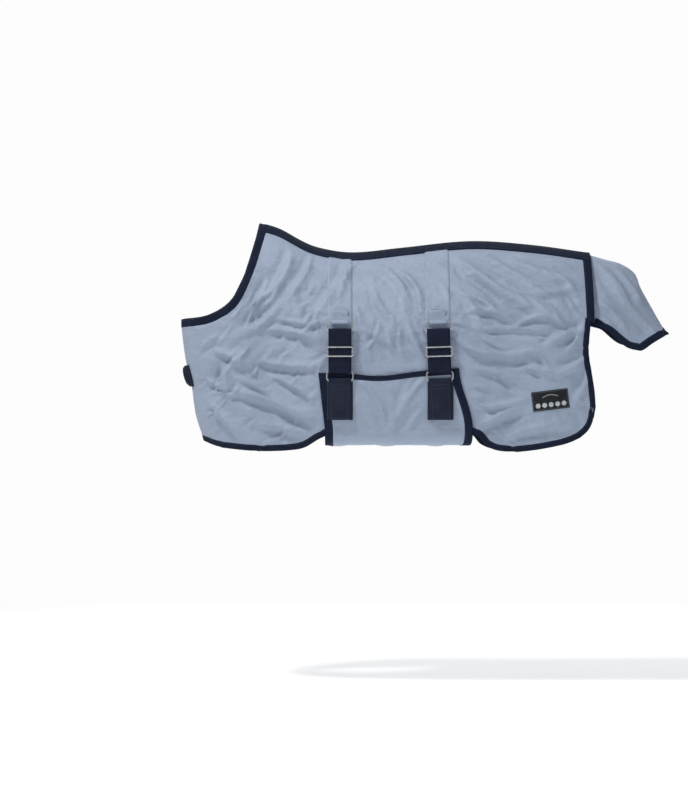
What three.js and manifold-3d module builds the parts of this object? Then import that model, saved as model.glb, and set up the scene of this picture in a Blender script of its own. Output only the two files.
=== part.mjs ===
// A foal's fly sheet: a mesh rug with bound edges, two chest flaps, a belly flap on two straps and a
// tail flap. +X runs towards the tail, -Y is the near side, +Z is up, and the origin is on the withers.
// Millimetres. Each piece is a closed solid of its own.
import * as THREE from "three";
import { mergeVertices } from "three/addons/utils/BufferGeometryUtils.js";
import Module from "manifold-3d";

const wasm = await Module();
wasm.setup();

// Sizes of the rug as it lies on the foal
const BACK = 766; // withers to the rear edge
const DROP = 531; // withers to the hem at the shoulder
const CHEST_REACH = 195; // front of the chest ahead of the withers
const NECK_DEPTH = 240; // withers to the lowest point of the neckline
const CREST_DEPTH = 185; // height over which the sheet curves from the spine to hanging straight
const CREST_POWER = 1.4; // roundness of that curve: 1 is a gable, 2 an ellipse
const CHEST_ROUND = 150; // length of the curve from the front of the chest to the side
const SHOULDER_HALF = 115; // half widths of the rug
const BARREL_HALF = 150;
const HIP_HALF = 147;
const REAR_HALF = 124;
const TUCK = 0.14; // share by which the hem hangs further in than the barrel
const TUCK_HEIGHT = 130; // height above the hem over which it does

// Cloth and tapes
const GAP = 0.3; // between pieces that touch
const CLOTH = 2.5;
const TAPE_PROUD = 0.75; // a binding stands this much out of the cloth on each side
const NECK_TAPE = 19;
const HEM_TAPE = 14;
const SPINE_TAPE_DROP = 20; // height of the spine band down each side
const BAR_GAP = 0.4; // between webbing and the bar that it goes round
const SEAM_TAPE = 19; // the band that the tail flap is sewn to
const SEAM_DROP = 158; // and how far down from the spine it reaches
const PATCH = 1.2; // reinforcement strips and the label

// Chest closure
const CHEST_SPLIT = -50; // where the chest flaps fold
const CHEST_OVERLAP = 34; // the near flap past the centre
const CHEST_TAPE = 17; // binding on the chest flaps' edges
const CHEST_STRAP_WIDTH = 50;
const CHEST_STRAP_Z = -356;
const CHEST_STRAP_BULGE = 8;
const CHEST_STRAP_NEAR = 46; // how far it reaches to each side of the centre
const CHEST_STRAP_OFF = 72;

// Belly flap
const BELLY_FRONT = 124; // its front and rear corners on the near side
const BELLY_REAR = 450;
const BELLY_RAKE = 32; // how much further back its rear edge is at the bottom
const BELLY_LEAN = 15; // and its front edge
const BELLY_NARROWS = 35; // how much the rear edge comes forward under the belly
const BELLY_HEIGHT = 166; // height of its near side
const BELLY_LIFT = 4.6; // between the nominal surface and the flap
const BELLY_CLEAR = 15; // its lowest line above the hem's
const BELLY_CORNER = 35;
const BELLY_TAPE = 19;
const BELLY_TOP_TAPE = 13;
const BELLY_HEM_RISE = 46; // the rug's hem is cut this much higher behind the flap

// Straps
const FRONT_STRAP_X = 173.5;
const REAR_STRAP_X = 401;
const REAR_STRAP_LEAN = 1.8; // degrees
const STRAP_TOP = -233; // height of the top ring's upper bar
const WEBBING_WIDTH = 54;
const WEBBING = 1.6;
const WIRE = 3.4;
const RING_HEIGHT = 18; // between the ring's bars
const SLIDE_DROP = 68; // top bar to the middle of the slide
const SLIDE_HEIGHT = 21;
const TAB_LENGTH = 92;
const TAB = 3;
const LOOP_PATCH = 2;
const HOOK_GAP = 1; // between a tab and the loop patch under it
const LOOP_PATCH_SPARE = 3; // how much wider than the tab it is on each side
const ANCHOR_HEIGHT = 30;

// Tail flap
const TAIL_LENGTH = 181;
const TAIL_TAPE = 16;
const TAIL_FRONT_SHARE = 0.9; // of the rear edge's width, so that it can drop inside
const TAIL_REAR_HALF = 66;
const TAIL_STEP = 3.6; // how far its top lies below the rear edge's
const TAIL_LAP = 0.5; // how far it starts under the rear edge

// Label
const LABEL_WIDTH = 85;
const LABEL_HEIGHT = 45;
const LABEL_FROM_REAR = 96;
const LABEL_ABOVE_HEM = 118;
const LABEL_TURN = 7; // degrees

const HEM_DEPTH = -DROP;
const TAPE_INNER = -TAPE_PROUD;
const TAPE_OUTER = CLOTH + TAPE_PROUD;
const CHEST_LIFT = TAPE_OUTER + TAPE_PROUD + 5 * GAP; // near chest flap over the off one
const REACH = 2 * BACK; // beyond everything, for cutting tools

const navy = 0x19203a;
const mesh_blue = 0x91a0b9;

const { lerp, smoothstep, degToRad, clamp } = THREE.MathUtils;

// A smooth line through [position, value] stations, level before the first and after the last.
function through(stations) {
  const slope = (k) => {
    const a = stations[Math.max(k - 1, 0)];
    const b = stations[Math.min(k + 1, stations.length - 1)];
    return (b[1] - a[1]) / (b[0] - a[0]);
  };
  return (x) => {
    const last = stations.length - 1;
    if (x <= stations[0][0]) return stations[0][1];
    if (x >= stations[last][0]) return stations[last][1];
    const k = stations.findIndex((s) => x < s[0]) - 1;
    const [xa, ya] = stations[k];
    const [xb, yb] = stations[k + 1];
    const span = xb - xa;
    const t = (x - xa) / span;
    const rest = 1 - t;
    return (
      ya * rest * rest * (1 + 2 * t) +
      yb * t * t * (3 - 2 * t) +
      slope(k) * span * t * rest * rest -
      slope(k + 1) * span * t * t * rest
    );
  };
}

// The rug's nominal surface
const SPINE = [
  [0, 0],
  [0.037, 8],
  [0.093, 33],
  [0.147, 52],
  [0.26, 66],
  [0.415, 55],
  [0.63, 39],
  [0.82, 48],
  [1, 67],
];
const spineLine = through(SPINE.map(([share, fall]) => [share * BACK, -fall]));
const NECK_RISE = 0.5; // slope of the line that carries the spine on over the neck
const crest = (x) => spineLine(x) - NECK_RISE * Math.min(x, 0);

const halfWidth = through([
  [-CHEST_REACH, SHOULDER_HALF - 3],
  [0, SHOULDER_HALF + 3],
  [0.19 * BACK, BARREL_HALF - 1],
  [0.3 * BACK, BARREL_HALF],
  [0.44 * BACK, BARREL_HALF],
  [0.56 * BACK, BARREL_HALF],
  [0.74 * BACK, (BARREL_HALF + HIP_HALF) / 2 - 5],
  [0.87 * BACK, HIP_HALF],
  [1.01 * BACK, REAR_HALF],
]);

const chestFront = through(
  [
    [-1.05, 0.68],
    [-0.957, 0.73],
    [-0.84, 0.83],
    [-0.71, 0.877],
    [-0.59, 0.954],
    [-0.455, 1],
  ].map(([depth, share]) => [depth * DROP, -share * CHEST_REACH]),
);

const rounded = (t, power) =>
  (1 - (1 - clamp(t, 0, 1)) ** power) ** (1 / power);
const tucked = (z) =>
  1 - TUCK * clamp((HEM_DEPTH + TUCK_HEIGHT - z) / TUCK_HEIGHT, 0, 1.2) ** 2;

// Distance of the nominal surface from the middle plane
function sideAt(x, z) {
  const overCrest = rounded((crest(x) - z) / CREST_DEPTH, CREST_POWER);
  const roundChest = rounded((x - chestFront(z)) / CHEST_ROUND, 2);
  return halfWidth(x) * overCrest * roundChest * tucked(z);
}

// Solids

function solid(geometry) {
  const bare = geometry.clone();
  bare.deleteAttribute("normal");
  bare.deleteAttribute("uv");
  const merged = mergeVertices(bare, 1e-3);
  return new wasm.Manifold(
    new wasm.Mesh({
      numProp: 3,
      vertProperties: new Float32Array(merged.attributes.position.array),
      triVerts: new Uint32Array(merged.index.array),
    }),
  );
}

function geometryOf(made) {
  const mesh = made.getMesh();
  const places = new THREE.BufferAttribute(mesh.vertProperties, 3);
  return new THREE.BufferGeometry()
    .setAttribute("position", places)
    .setIndex(new THREE.BufferAttribute(mesh.triVerts, 1));
}

// A sheet of even thickness on the surface that at(u, v) gives for u and v from 0 to 1. inner and outer
// are the distances of its two faces from the surface, outwards where du x dv * facing points.
function sheet(at, across, along, inner, outer, facing = 1) {
  const step = 1e-4;
  const places = [];
  const index = [];
  const place = (i, j, layer) =>
    (layer * (across + 1) + i) * (along + 1) + j;
  for (const distance of [inner, outer]) {
    for (let i = 0; i <= across; i++) {
      for (let j = 0; j <= along; j++) {
        const u = clamp(i / across, step, 1 - step);
        const v = clamp(j / along, step, 1 - step);
        const du = at(u + step, v).sub(at(u - step, v));
        const dv = at(u, v + step).sub(at(u, v - step));
        const out = du.cross(dv).normalize().multiplyScalar(facing * distance);
        places.push(...at(i / across, j / along).add(out).toArray());
      }
    }
  }
  const quad = (a, b, c, d) => {
    const turned = facing > 0 ? [a, b, c, a, c, d] : [a, c, b, a, d, c];
    index.push(...turned);
  };
  for (let i = 0; i < across; i++) {
    for (let j = 0; j < along; j++) {
      quad(place(i, j, 1), place(i + 1, j, 1), place(i + 1, j + 1, 1), place(i, j + 1, 1));
      quad(place(i, j, 0), place(i, j + 1, 0), place(i + 1, j + 1, 0), place(i + 1, j, 0));
    }
    quad(place(i, 0, 0), place(i + 1, 0, 0), place(i + 1, 0, 1), place(i, 0, 1));
    quad(place(i, along, 0), place(i, along, 1), place(i + 1, along, 1), place(i + 1, along, 0));
  }
  for (let j = 0; j < along; j++) {
    quad(place(0, j, 0), place(0, j, 1), place(0, j + 1, 1), place(0, j + 1, 0));
    quad(place(across, j, 0), place(across, j + 1, 0), place(across, j + 1, 1), place(across, j, 1));
  }
  const geometry = new THREE.BufferGeometry();
  geometry.setAttribute("position", new THREE.Float32BufferAttribute(places, 3));
  geometry.setIndex(index);
  return solid(geometry);
}

// A cutter with the side-view outline [[x, z], ...], right through the rug
function sideCutter(outline) {
  const shape = new THREE.Shape(outline.map(([x, z]) => new THREE.Vector2(x, z)));
  const geometry = new THREE.ExtrudeGeometry(shape, { depth: 2 * REACH, bevelEnabled: false });
  geometry.rotateX(Math.PI / 2).translate(0, REACH, 0);
  return solid(geometry);
}

function block(x, y, z) {
  const size = [x, y, z].map(([low, high]) => high - low);
  const middle = [x, y, z].map(([low, high]) => (low + high) / 2);
  return solid(new THREE.BoxGeometry(...size).translate(...middle));
}

// Side-view lines

const lineOf = (points, steps) =>
  new THREE.SplineCurve(points.map(([x, z]) => new THREE.Vector2(x, z)))
    .getSpacedPoints(steps)
    .map((p) => [p.x, p.y]);

// The same line moved sideways, to the left of its direction
function moved(line, distance) {
  return line.map(([x, z], k) => {
    const [xa, za] = line[Math.max(k - 1, 0)];
    const [xb, zb] = line[Math.min(k + 1, line.length - 1)];
    const long = Math.hypot(xb - xa, zb - za);
    return [x - (distance * (zb - za)) / long, z + (distance * (xb - xa)) / long];
  });
}

const band = (line, from, to) => [...moved(line, from), ...moved(line, to).reverse()];

// From the withers down to the middle of the chest; the rug is to the left of it
const neckline = lineOf(
  [
    [-0.03, -0.06],
    [0, 0],
    [0.046, 0.183],
    [0.164, 0.508],
    [0.344, 0.8],
    [0.641, 0.958],
    [1, 1],
    [1.2, 1.01],
  ].map(([reach, depth]) => [-reach * CHEST_REACH, -depth * NECK_DEPTH]),
  16,
);

// From the middle of the chest along the hem, round the rear corner and up to the tail flap
const BEHIND_FLAP = HEM_DEPTH + BELLY_HEM_RISE;
const hemline = lineOf(
  [
    [-CHEST_REACH, HEM_DEPTH + 42],
    [-0.75 * CHEST_REACH, HEM_DEPTH + 22],
    [-0.5 * CHEST_REACH, HEM_DEPTH + 7],
    [-14, HEM_DEPTH],
    [BELLY_FRONT - 70, HEM_DEPTH + 2],
    [BELLY_FRONT - 32, HEM_DEPTH + 9],
    [BELLY_FRONT + 8, HEM_DEPTH + 32],
    [BELLY_FRONT + 60, BEHIND_FLAP],
    [BELLY_REAR - 30, BEHIND_FLAP],
    [BELLY_REAR + BELLY_RAKE + 5, HEM_DEPTH + 39],
    [BELLY_REAR + BELLY_RAKE + 34, HEM_DEPTH + 12],
    [BELLY_REAR + BELLY_RAKE + 70, HEM_DEPTH],
    [0.8 * BACK, HEM_DEPTH + 1],
    [0.915 * BACK, HEM_DEPTH + 18],
    [0.975 * BACK, HEM_DEPTH + 44],
    [BACK - 1, HEM_DEPTH + 84],
    [BACK, HEM_DEPTH + 130],
    [BACK - 9, HEM_DEPTH + 188],
    [BACK - 15, HEM_DEPTH + 233],
    [BACK - 9, -SPINE.at(-1)[1] - SEAM_DROP],
  ],
  60,
);

const spineShown = [];
for (let x = -30; x <= BACK + 20; x += 19) spineShown.push([x, crest(x) - SPINE_TAPE_DROP]);

// The whole of one side, wider than the rug. The near side is carried past the middle of the chest,
// where it lies over the off side.
const FRONT_STEPS = 8;
const LENGTH_STEPS = 18;
const CREST_STEPS = 6;
const DROP_STEPS = 5;
const BELOW_HEM = HEM_DEPTH - 12;

// How far the near side stands forward of the off side, by its angle round the chest
const overlapLift = (angle) => CHEST_LIFT * (1 - smoothstep(angle, 0.06, 0.5));

function sidePoint(side, u, v) {
  const turn = side < 0 ? -Math.asin(CHEST_OVERLAP / SHOULDER_HALF) : 0;
  const along = u * (FRONT_STEPS + LENGTH_STEPS);
  const down = v * (CREST_STEPS + DROP_STEPS);
  const angle = lerp(turn, Math.PI / 2, Math.min(along / FRONT_STEPS, 1));
  const atLength = Math.max(along - FRONT_STEPS, 0) / LENGTH_STEPS;
  const placeAt = (z) =>
    lerp(chestFront(z) + CHEST_ROUND * (1 - Math.cos(angle)), BACK, atLength);
  const top = crest(placeAt(-NECK_DEPTH));
  const atCrest = Math.min(down / CREST_STEPS, 1) ** 2;
  const atDrop = Math.max(down - CREST_STEPS, 0) / DROP_STEPS;
  const z = lerp(top - CREST_DEPTH * atCrest, BELOW_HEM, atDrop);
  const x = placeAt(z);
  const overCrest = rounded((crest(x) - z) / CREST_DEPTH, CREST_POWER);
  const y = halfWidth(x) * overCrest * Math.sin(angle) * tucked(z);
  return new THREE.Vector3(x - (side < 0 ? overlapLift(angle) : 0), side * y, z);
}

const sideSheet = (side, inner, outer) =>
  sheet(
    (u, v) => sidePoint(side, u, v),
    FRONT_STEPS + LENGTH_STEPS,
    CREST_STEPS + DROP_STEPS,
    inner,
    outer,
    side,
  );

// Where the side's cloth and its bindings lie, in side view
const seamBottom = -SPINE.at(-1)[1] - SEAM_DROP;

// The spine band lies over the ridge, from the neckline to the tail flap
function spineSheet(spare) {
  const at = (u, v) => {
    const x = lerp(-spare, BACK + spare, u);
    const across = 2 * v - 1;
    const z = crest(x) - (SPINE_TAPE_DROP + spare) * across ** 2;
    return new THREE.Vector3(x, Math.sign(across) * sideAt(x, z), z);
  };
  return sheet(at, 20, 6, TAPE_INNER - spare, TAPE_OUTER + spare);
}
const aboveBand = [];
for (let x = -40; x < BACK + 30; x += 20) aboveBand.push([x, crest(x) - 0.9 * SPINE_TAPE_DROP]);
const spineClear = sideCutter([...aboveBand, [BACK + 30, REACH], [-40, REACH]]).add(
  spineSheet(2 * GAP),
);
const seamArea = (spare) =>
  block([BACK - SEAM_TAPE - spare, BACK + 1], [-REACH, REACH], [seamBottom - spare, REACH]);

const neckInner = moved(neckline, NECK_TAPE + GAP);
const clothOutline = [
  ...neckInner,
  ...moved(hemline, HEM_TAPE + GAP),
  [BACK + 30, seamBottom],
  [BACK + 30, REACH],
  [neckInner[0][0], REACH],
];
const clothArea = sideCutter(clothOutline)
  .subtract(spineClear)
  .subtract(seamArea(GAP));
const neckArea = sideCutter(band(neckline, 0, NECK_TAPE)).subtract(spineClear);
const hemArea = sideCutter(band(hemline, 0, HEM_TAPE));

const all = [-REACH, REACH];
const chestArea = block([-REACH, CHEST_SPLIT - GAP], all, all);
const rugArea = block([CHEST_SPLIT + GAP, REACH], all, all);
const CORNER_TOP = HEM_DEPTH + 96;
const cornerArea = block([BACK - 60, BACK + 60], all, [CORNER_TOP, seamBottom - GAP]);
const underCorner = block([BACK - 60, BACK + 60], all, [CORNER_TOP - GAP, REACH]);

// Pieces

const rug = new THREE.Group();

// The largest body of a cut piece, without the crumbs that a cut can leave
function withoutCrumbs(made) {
  return made.decompose().reduce((best, body) => (body.volume() > best.volume() ? body : best));
}

function add(name, made, color, roughness = 0.85, metalness = 0, group = rug) {
  const material = new THREE.MeshStandardMaterial({ color, roughness, metalness });
  const piece = new THREE.Mesh(geometryOf(withoutCrumbs(made)), material);
  piece.name = name;
  group.add(piece);
}

for (const [name, side] of [
  ["near", -1],
  ["off", 1],
]) {
  const cloth = sideSheet(side, 0, CLOTH).intersect(clothArea);
  const tape = sideSheet(side, TAPE_INNER, TAPE_OUTER);
  const edgeFrom = side < 0 ? CHEST_OVERLAP - CHEST_TAPE : -1;
  const edgeTo = side < 0 ? REACH : CHEST_TAPE;
  const edgeArea = block([-REACH, 0], [edgeFrom, edgeTo], all);
  const edgeCut = block([-REACH, 0], [edgeFrom - GAP, edgeTo + GAP], all);
  add(name + "_side", cloth.intersect(rugArea), mesh_blue);
  add(name + "_chest_flap", cloth.intersect(chestArea).subtract(edgeCut), mesh_blue);
  const chestTape = tape.intersect(chestArea);
  const rugTape = tape.intersect(rugArea);
  add(name + "_chest_edge_binding", chestTape.intersect(clothArea).intersect(edgeArea), navy);
  add(name + "_neck_binding", rugTape.intersect(neckArea), navy);
  add(name + "_chest_neck_binding", chestTape.intersect(neckArea), navy);
  add(name + "_hem_binding", rugTape.intersect(hemArea).subtract(underCorner), navy);
  add(name + "_chest_hem_binding", chestTape.intersect(hemArea), navy);
  add(name + "_rear_binding", rugTape.intersect(hemArea).intersect(cornerArea), navy);
  const seam = rugTape.intersect(seamArea(0)).subtract(spineClear);
  add(name + "_tail_seam_band", seam, navy);
}

add("spine_band", spineSheet(0), navy);

// Reinforcement strips from the spine to the straps, and the label, all on the near side
const patchSheet = sideSheet(-1, CLOTH + GAP, CLOTH + GAP + PATCH);

for (const [name, x] of [
  ["front", FRONT_STRAP_X],
  ["rear", REAR_STRAP_X],
]) {
  const half = WEBBING_WIDTH / 2 + 2;
  const strip = block([x - half, x + half], all, [STRAP_TOP - RING_HEIGHT / 2, REACH]);
  const made = patchSheet.intersect(strip).subtract(spineClear);
  add(name + "_reinforcement_strip", made, mesh_blue);
}

const labelTurn = degToRad(LABEL_TURN);
const labelMiddle = [BACK - LABEL_FROM_REAR - 8, HEM_DEPTH + LABEL_ABOVE_HEM];
const labelOutline = [
  [-1, -1],
  [1, -1],
  [1, 1],
  [-1, 1],
].map(([right, up]) => {
  const corner = new THREE.Vector2((right * LABEL_WIDTH) / 2, (up * LABEL_HEIGHT) / 2);
  corner.rotateAround(new THREE.Vector2(), labelTurn);
  return [labelMiddle[0] + corner.x, labelMiddle[1] + corner.y];
});
add("label", patchSheet.intersect(sideCutter(labelOutline)), 0x2c3038);

// Chest strap, sewn to the near flap, and the loop patch that it grips on the off flap
const chestPatchLift = CLOTH + 3 * GAP;
const stripHeight = (v) => CHEST_STRAP_Z + (0.5 - v) * CHEST_STRAP_WIDTH;
function chestPoint(y, z, forward, lift) {
  const angle = Math.asin(y / SHOULDER_HALF);
  const x = chestFront(z) + CHEST_ROUND * (1 - Math.cos(angle)) - forward;
  const side = halfWidth(x) * Math.sin(angle) * tucked(z);
  return new THREE.Vector3(x - lift * Math.cos(angle), side + lift * Math.sin(angle), z);
}
function chestStrapPoint(u, v) {
  const y = lerp(-CHEST_STRAP_NEAR, CHEST_STRAP_OFF, u);
  const onPatch = smoothstep(y, CHEST_OVERLAP + 2, CHEST_OVERLAP + 24);
  const forward = overlapLift(-Math.asin(y / SHOULDER_HALF)) * (1 - onPatch);
  const overEdge = CLOTH + 3 * GAP + TAPE_PROUD * smoothstep(y, -15, 10);
  const lift = lerp(overEdge, chestPatchLift + LOOP_PATCH + 2 * GAP, onPatch);
  const bulge = CHEST_STRAP_BULGE * Math.sin(Math.PI * u) ** 2;
  return chestPoint(y, stripHeight(v), forward, lift + bulge);
}
add("chest_strap", sheet(chestStrapPoint, 14, 3, 0, WEBBING), navy);

function chestPatchPoint(u, v) {
  const y = lerp(CHEST_OVERLAP + 4, CHEST_STRAP_OFF, u);
  return chestPoint(y, stripHeight(v), 0, chestPatchLift);
}
add("chest_loop_patch", sheet(chestPatchPoint, 4, 3, 0, LOOP_PATCH), navy, 0.95);

// Belly flap: down the near side, under the belly and up to the off side's hem, where it is sewn
const bellyBottom = HEM_DEPTH + BELLY_CLEAR;
const bellyTop = bellyBottom + BELLY_HEIGHT;
const CORNER_SHARE = 0.12; // shares of the flap's path that its corners and near side take
const NEAR_SHARE = 0.34;

function hemAt(x) {
  const k = hemline.findIndex((p) => p[0] > x);
  const [xa, za] = hemline[k - 1];
  const [xb, zb] = hemline[k];
  return lerp(za, zb, (x - xa) / (xb - xa));
}

const bellyFrontAt = (s) => BELLY_FRONT + BELLY_LEAN * Math.min(s / NEAR_SHARE, 1);
const bellyRearAt = (s) =>
  BELLY_REAR +
  BELLY_RAKE * smoothstep(s, 0, NEAR_SHARE) -
  BELLY_NARROWS * smoothstep(s, NEAR_SHARE + CORNER_SHARE, 0.9);

function bellyPoint(x, s) {
  const middle = bellyBottom + BELLY_CORNER;
  const near = sideAt(x, middle) + BELLY_LIFT;
  const inner = near - BELLY_CORNER;
  const underFrom = NEAR_SHARE + CORNER_SHARE;
  const underTo = 1 - CORNER_SHARE;
  if (s < NEAR_SHARE) {
    const z = lerp(bellyTop, middle, s / NEAR_SHARE);
    return new THREE.Vector3(x, -sideAt(x, z) - BELLY_LIFT, z);
  }
  if (s < underFrom) {
    const angle = ((s - NEAR_SHARE) / CORNER_SHARE) * (Math.PI / 2);
    const y = -inner - BELLY_CORNER * Math.cos(angle);
    return new THREE.Vector3(x, y, middle - BELLY_CORNER * Math.sin(angle));
  }
  if (s < underTo) {
    const y = lerp(-inner, inner, (s - underFrom) / (underTo - underFrom));
    return new THREE.Vector3(x, y, bellyBottom);
  }
  const end = Math.asin((middle - hemAt(x) + 2 * GAP) / BELLY_CORNER);
  const angle = lerp(Math.PI / 2, end, (s - underTo) / CORNER_SHARE);
  const y = inner + BELLY_CORNER * Math.cos(angle);
  return new THREE.Vector3(x, y, middle - BELLY_CORNER * Math.sin(angle));
}

// A strip of the flap between two edges, for the part of the path from first to last
function bellySheet([from, to], [first, last], [across, along], inner, outer) {
  const at = (u, v) => {
    const s = lerp(first, last, v);
    return bellyPoint(lerp(from(s), to(s), u), s);
  };
  return sheet(at, across, along, inner, outer, -1);
}
const shareOf = (height) => (NEAR_SHARE * height) / (BELLY_HEIGHT - BELLY_CORNER);
const topTapeEnd = shareOf(BELLY_TOP_TAPE);
const frontTapeEnd = (s) => bellyFrontAt(s) + BELLY_TAPE;
const rearTapeStart = (s) => bellyRearAt(s) - BELLY_TAPE;
const clothEdges = [(s) => frontTapeEnd(s) + 3 * GAP, (s) => rearTapeStart(s) - 3 * GAP];
const STEPS = 20; // along the flap's path

const belly = new THREE.Group();
rug.add(belly);
const addToBelly = (name, made, color) => add(name, made, color, 0.85, 0, belly);
addToBelly(
  "belly_flap",
  bellySheet(clothEdges, [topTapeEnd + shareOf(GAP), 1], [7, STEPS], 0, CLOTH),
  mesh_blue,
);
for (const [name, edges, path, steps] of [
  ["front_binding", [bellyFrontAt, frontTapeEnd], [0, 1], [1, STEPS]],
  ["rear_binding", [rearTapeStart, bellyRearAt], [0, 1], [1, STEPS]],
  ["top_binding", clothEdges, [0, topTapeEnd], [7, 1]],
]) {
  const tape = bellySheet(edges, path, steps, TAPE_INNER, TAPE_OUTER);
  addToBelly("belly_flap_" + name, tape, navy);
}

// Straps
const BAR = WIRE / 2;
const LOOP_INNER = BAR + BAR_GAP;
const LOOP_OUTER = LOOP_INNER + WEBBING;
const PATCH_OUTER = BELLY_LIFT + TAPE_OUTER + 2 * GAP + LOOP_PATCH;
const STAND = PATCH_OUTER + HOOK_GAP + TAB / 2; // of the bars from the nominal surface
const RING_WIDTH = WEBBING_WIDTH + WIRE + 8 * BAR_GAP; // between the ring's side bars
const lowerRingDrop = STRAP_TOP - bellyTop - BAR;
const webbingDrop = lowerRingDrop - RING_HEIGHT;
const tabTop = lowerRingDrop + RING_HEIGHT;
const SLIDE_STAND = LOOP_OUTER + GAP + BAR;

function roundedBox(path, halfWide, halfHigh, radius) {
  path.moveTo(halfWide - radius, -halfHigh);
  path.absarc(halfWide - radius, -halfHigh + radius, radius, -Math.PI / 2, 0);
  path.absarc(halfWide - radius, halfHigh - radius, radius, 0, Math.PI / 2);
  path.absarc(-halfWide + radius, halfHigh - radius, radius, Math.PI / 2, Math.PI);
  path.absarc(-halfWide + radius, -halfHigh + radius, radius, Math.PI, 1.5 * Math.PI);
  path.closePath();
  return path;
}

// A wire rectangle that hangs from the bar at its origin, its bars this far apart
function wireRing(width, height) {
  const shape = roundedBox(new THREE.Shape(), width / 2 + BAR, height / 2 + BAR, 2 * WIRE);
  shape.holes.push(roundedBox(new THREE.Path(), width / 2 - BAR, height / 2 - BAR, BAR));
  const edge = 0.25 * WIRE;
  const made = new THREE.ExtrudeGeometry(shape, {
    depth: WIRE - 2 * edge,
    bevelThickness: edge,
    bevelSize: edge,
    bevelOffset: -edge,
    bevelSegments: 1,
    curveSegments: 2,
  });
  made.translate(0, 0, -WIRE / 2 + edge).rotateX(Math.PI / 2).translate(0, 0, -height / 2);
  return solid(made);
}

// A section in the plane of Y and Z, drawn out along X on both sides of the middle
const drawnAcross = new THREE.Matrix4().makeBasis(
  new THREE.Vector3(0, 1, 0),
  new THREE.Vector3(0, 0, 1),
  new THREE.Vector3(1, 0, 0),
);
function acrossStrap(shape, width) {
  const made = new THREE.ExtrudeGeometry(shape, {
    depth: width,
    bevelEnabled: false,
    curveSegments: 6,
  });
  return solid(made.translate(0, 0, -width / 2).applyMatrix4(drawnAcross));
}

function belt(path, radius, from, to) {
  path.moveTo(radius, to);
  path.absarc(0, from, radius, 0, Math.PI);
  path.absarc(0, to, radius, Math.PI, 2 * Math.PI);
  path.closePath();
  return path;
}

function webbingLoop() {
  const shape = belt(new THREE.Shape(), LOOP_OUTER, -RING_HEIGHT, -lowerRingDrop);
  shape.holes.push(belt(new THREE.Path(), LOOP_INNER, -RING_HEIGHT, -lowerRingDrop));
  return acrossStrap(shape, WEBBING_WIDTH);
}

// A tab folded round the bar at its origin, hanging down from it
function foldedTab(length, width) {
  const shape = new THREE.Shape();
  const half = TAB / 2;
  const meet = Math.acos(half / LOOP_OUTER);
  shape.moveTo(-half, -length);
  shape.lineTo(half, -length);
  shape.absarc(0, 0, LOOP_OUTER, -meet, Math.PI + meet);
  shape.closePath();
  const hole = new THREE.Path();
  hole.absarc(0, 0, LOOP_INNER, 0, 2 * Math.PI);
  shape.holes.push(hole);
  return acrossStrap(shape, width);
}

// Two bars in front of the webbing and one inside its loop
function slideAdjuster() {
  const frontBars = wireRing(RING_WIDTH, SLIDE_HEIGHT).translate([0, -SLIDE_STAND, 0]);
  const middle = new THREE.CylinderGeometry(BAR, BAR, RING_WIDTH, 8).rotateZ(Math.PI / 2);
  let made = frontBars.add(solid(middle.translate(0, 0, -SLIDE_HEIGHT / 2)));
  for (const end of [-1, 1]) {
    const x = (end * RING_WIDTH) / 2;
    const leg = block(
      [x - BAR, x + BAR],
      [-SLIDE_STAND, BAR],
      [-SLIDE_HEIGHT / 2 - BAR, -SLIDE_HEIGHT / 2 + BAR],
    );
    made = made.add(leg);
  }
  return made;
}

const silver = [0xb9bcc0, 0.3, 1];

for (const [name, x, lean] of [
  ["front", FRONT_STRAP_X, 0],
  ["rear", REAR_STRAP_X, -REAR_STRAP_LEAN],
]) {
  const place = new THREE.Group();
  place.position.set(x, -BARREL_HALF - STAND, STRAP_TOP);
  place.rotation.y = degToRad(lean);
  rug.add(place);
  const hung = (drop) => {
    const group = new THREE.Group();
    group.position.z = -drop;
    place.add(group);
    return group;
  };
  add(name + "_top_ring", wireRing(RING_WIDTH, RING_HEIGHT), ...silver, hung(0));
  add(name + "_strap_webbing", webbingLoop(), navy, 0.85, 0, hung(0));
  const slideTop = SLIDE_DROP - SLIDE_HEIGHT / 2;
  add(name + "_slide", slideAdjuster(), ...silver, hung(slideTop));
  add(name + "_lower_ring", wireRing(RING_WIDTH, RING_HEIGHT), ...silver, hung(lowerRingDrop));
  const tab = foldedTab(TAB_LENGTH, WEBBING_WIDTH);
  add(name + "_fastening_tab", tab, 0x24283c, 0.95, 0, hung(tabTop));

  // The anchor is sewn over the reinforcement strip and folded round the top ring's upper bar
  const plateSheet = sideSheet(-1, CLOTH + PATCH + 2 * GAP, CLOTH + PATCH + 2 * GAP + WEBBING + 0.4);
  const half = WEBBING_WIDTH / 2 - 1;
  const plate = plateSheet.intersect(
    block([x - half, x + half], all, [STRAP_TOP - 2 * WEBBING, STRAP_TOP + ANCHOR_HEIGHT]),
  );
  const fold = foldedTab(STAND, 2 * half)
    .rotate([90, 0, 0])
    .rotate([0, lean, 0])
    .translate([x, -BARREL_HALF - STAND, STRAP_TOP]);
  const behind = sideSheet(-1, -STAND, CLOTH + PATCH + 2 * GAP);
  add(name + "_strap_anchor", plate.add(fold).subtract(behind), mesh_blue);

  const wide = WEBBING_WIDTH / 2 + LOOP_PATCH_SPARE;
  const patchMiddle = x + Math.sin(degToRad(-lean)) * (tabTop + TAB_LENGTH / 2);
  const patchTop = STRAP_TOP - tabTop - LOOP_OUTER - 1;
  const at = (u, v) => {
    const px = patchMiddle + lerp(-wide, wide, u);
    const z = patchTop - v * (TAB_LENGTH - LOOP_OUTER);
    return new THREE.Vector3(px, -sideAt(px, z) - PATCH_OUTER, z);
  };
  const patch = sheet(at, 3, 8, -LOOP_PATCH, 0, -1);
  addToBelly(name + "_loop_patch", patch, 0x1c2030);
}

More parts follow.
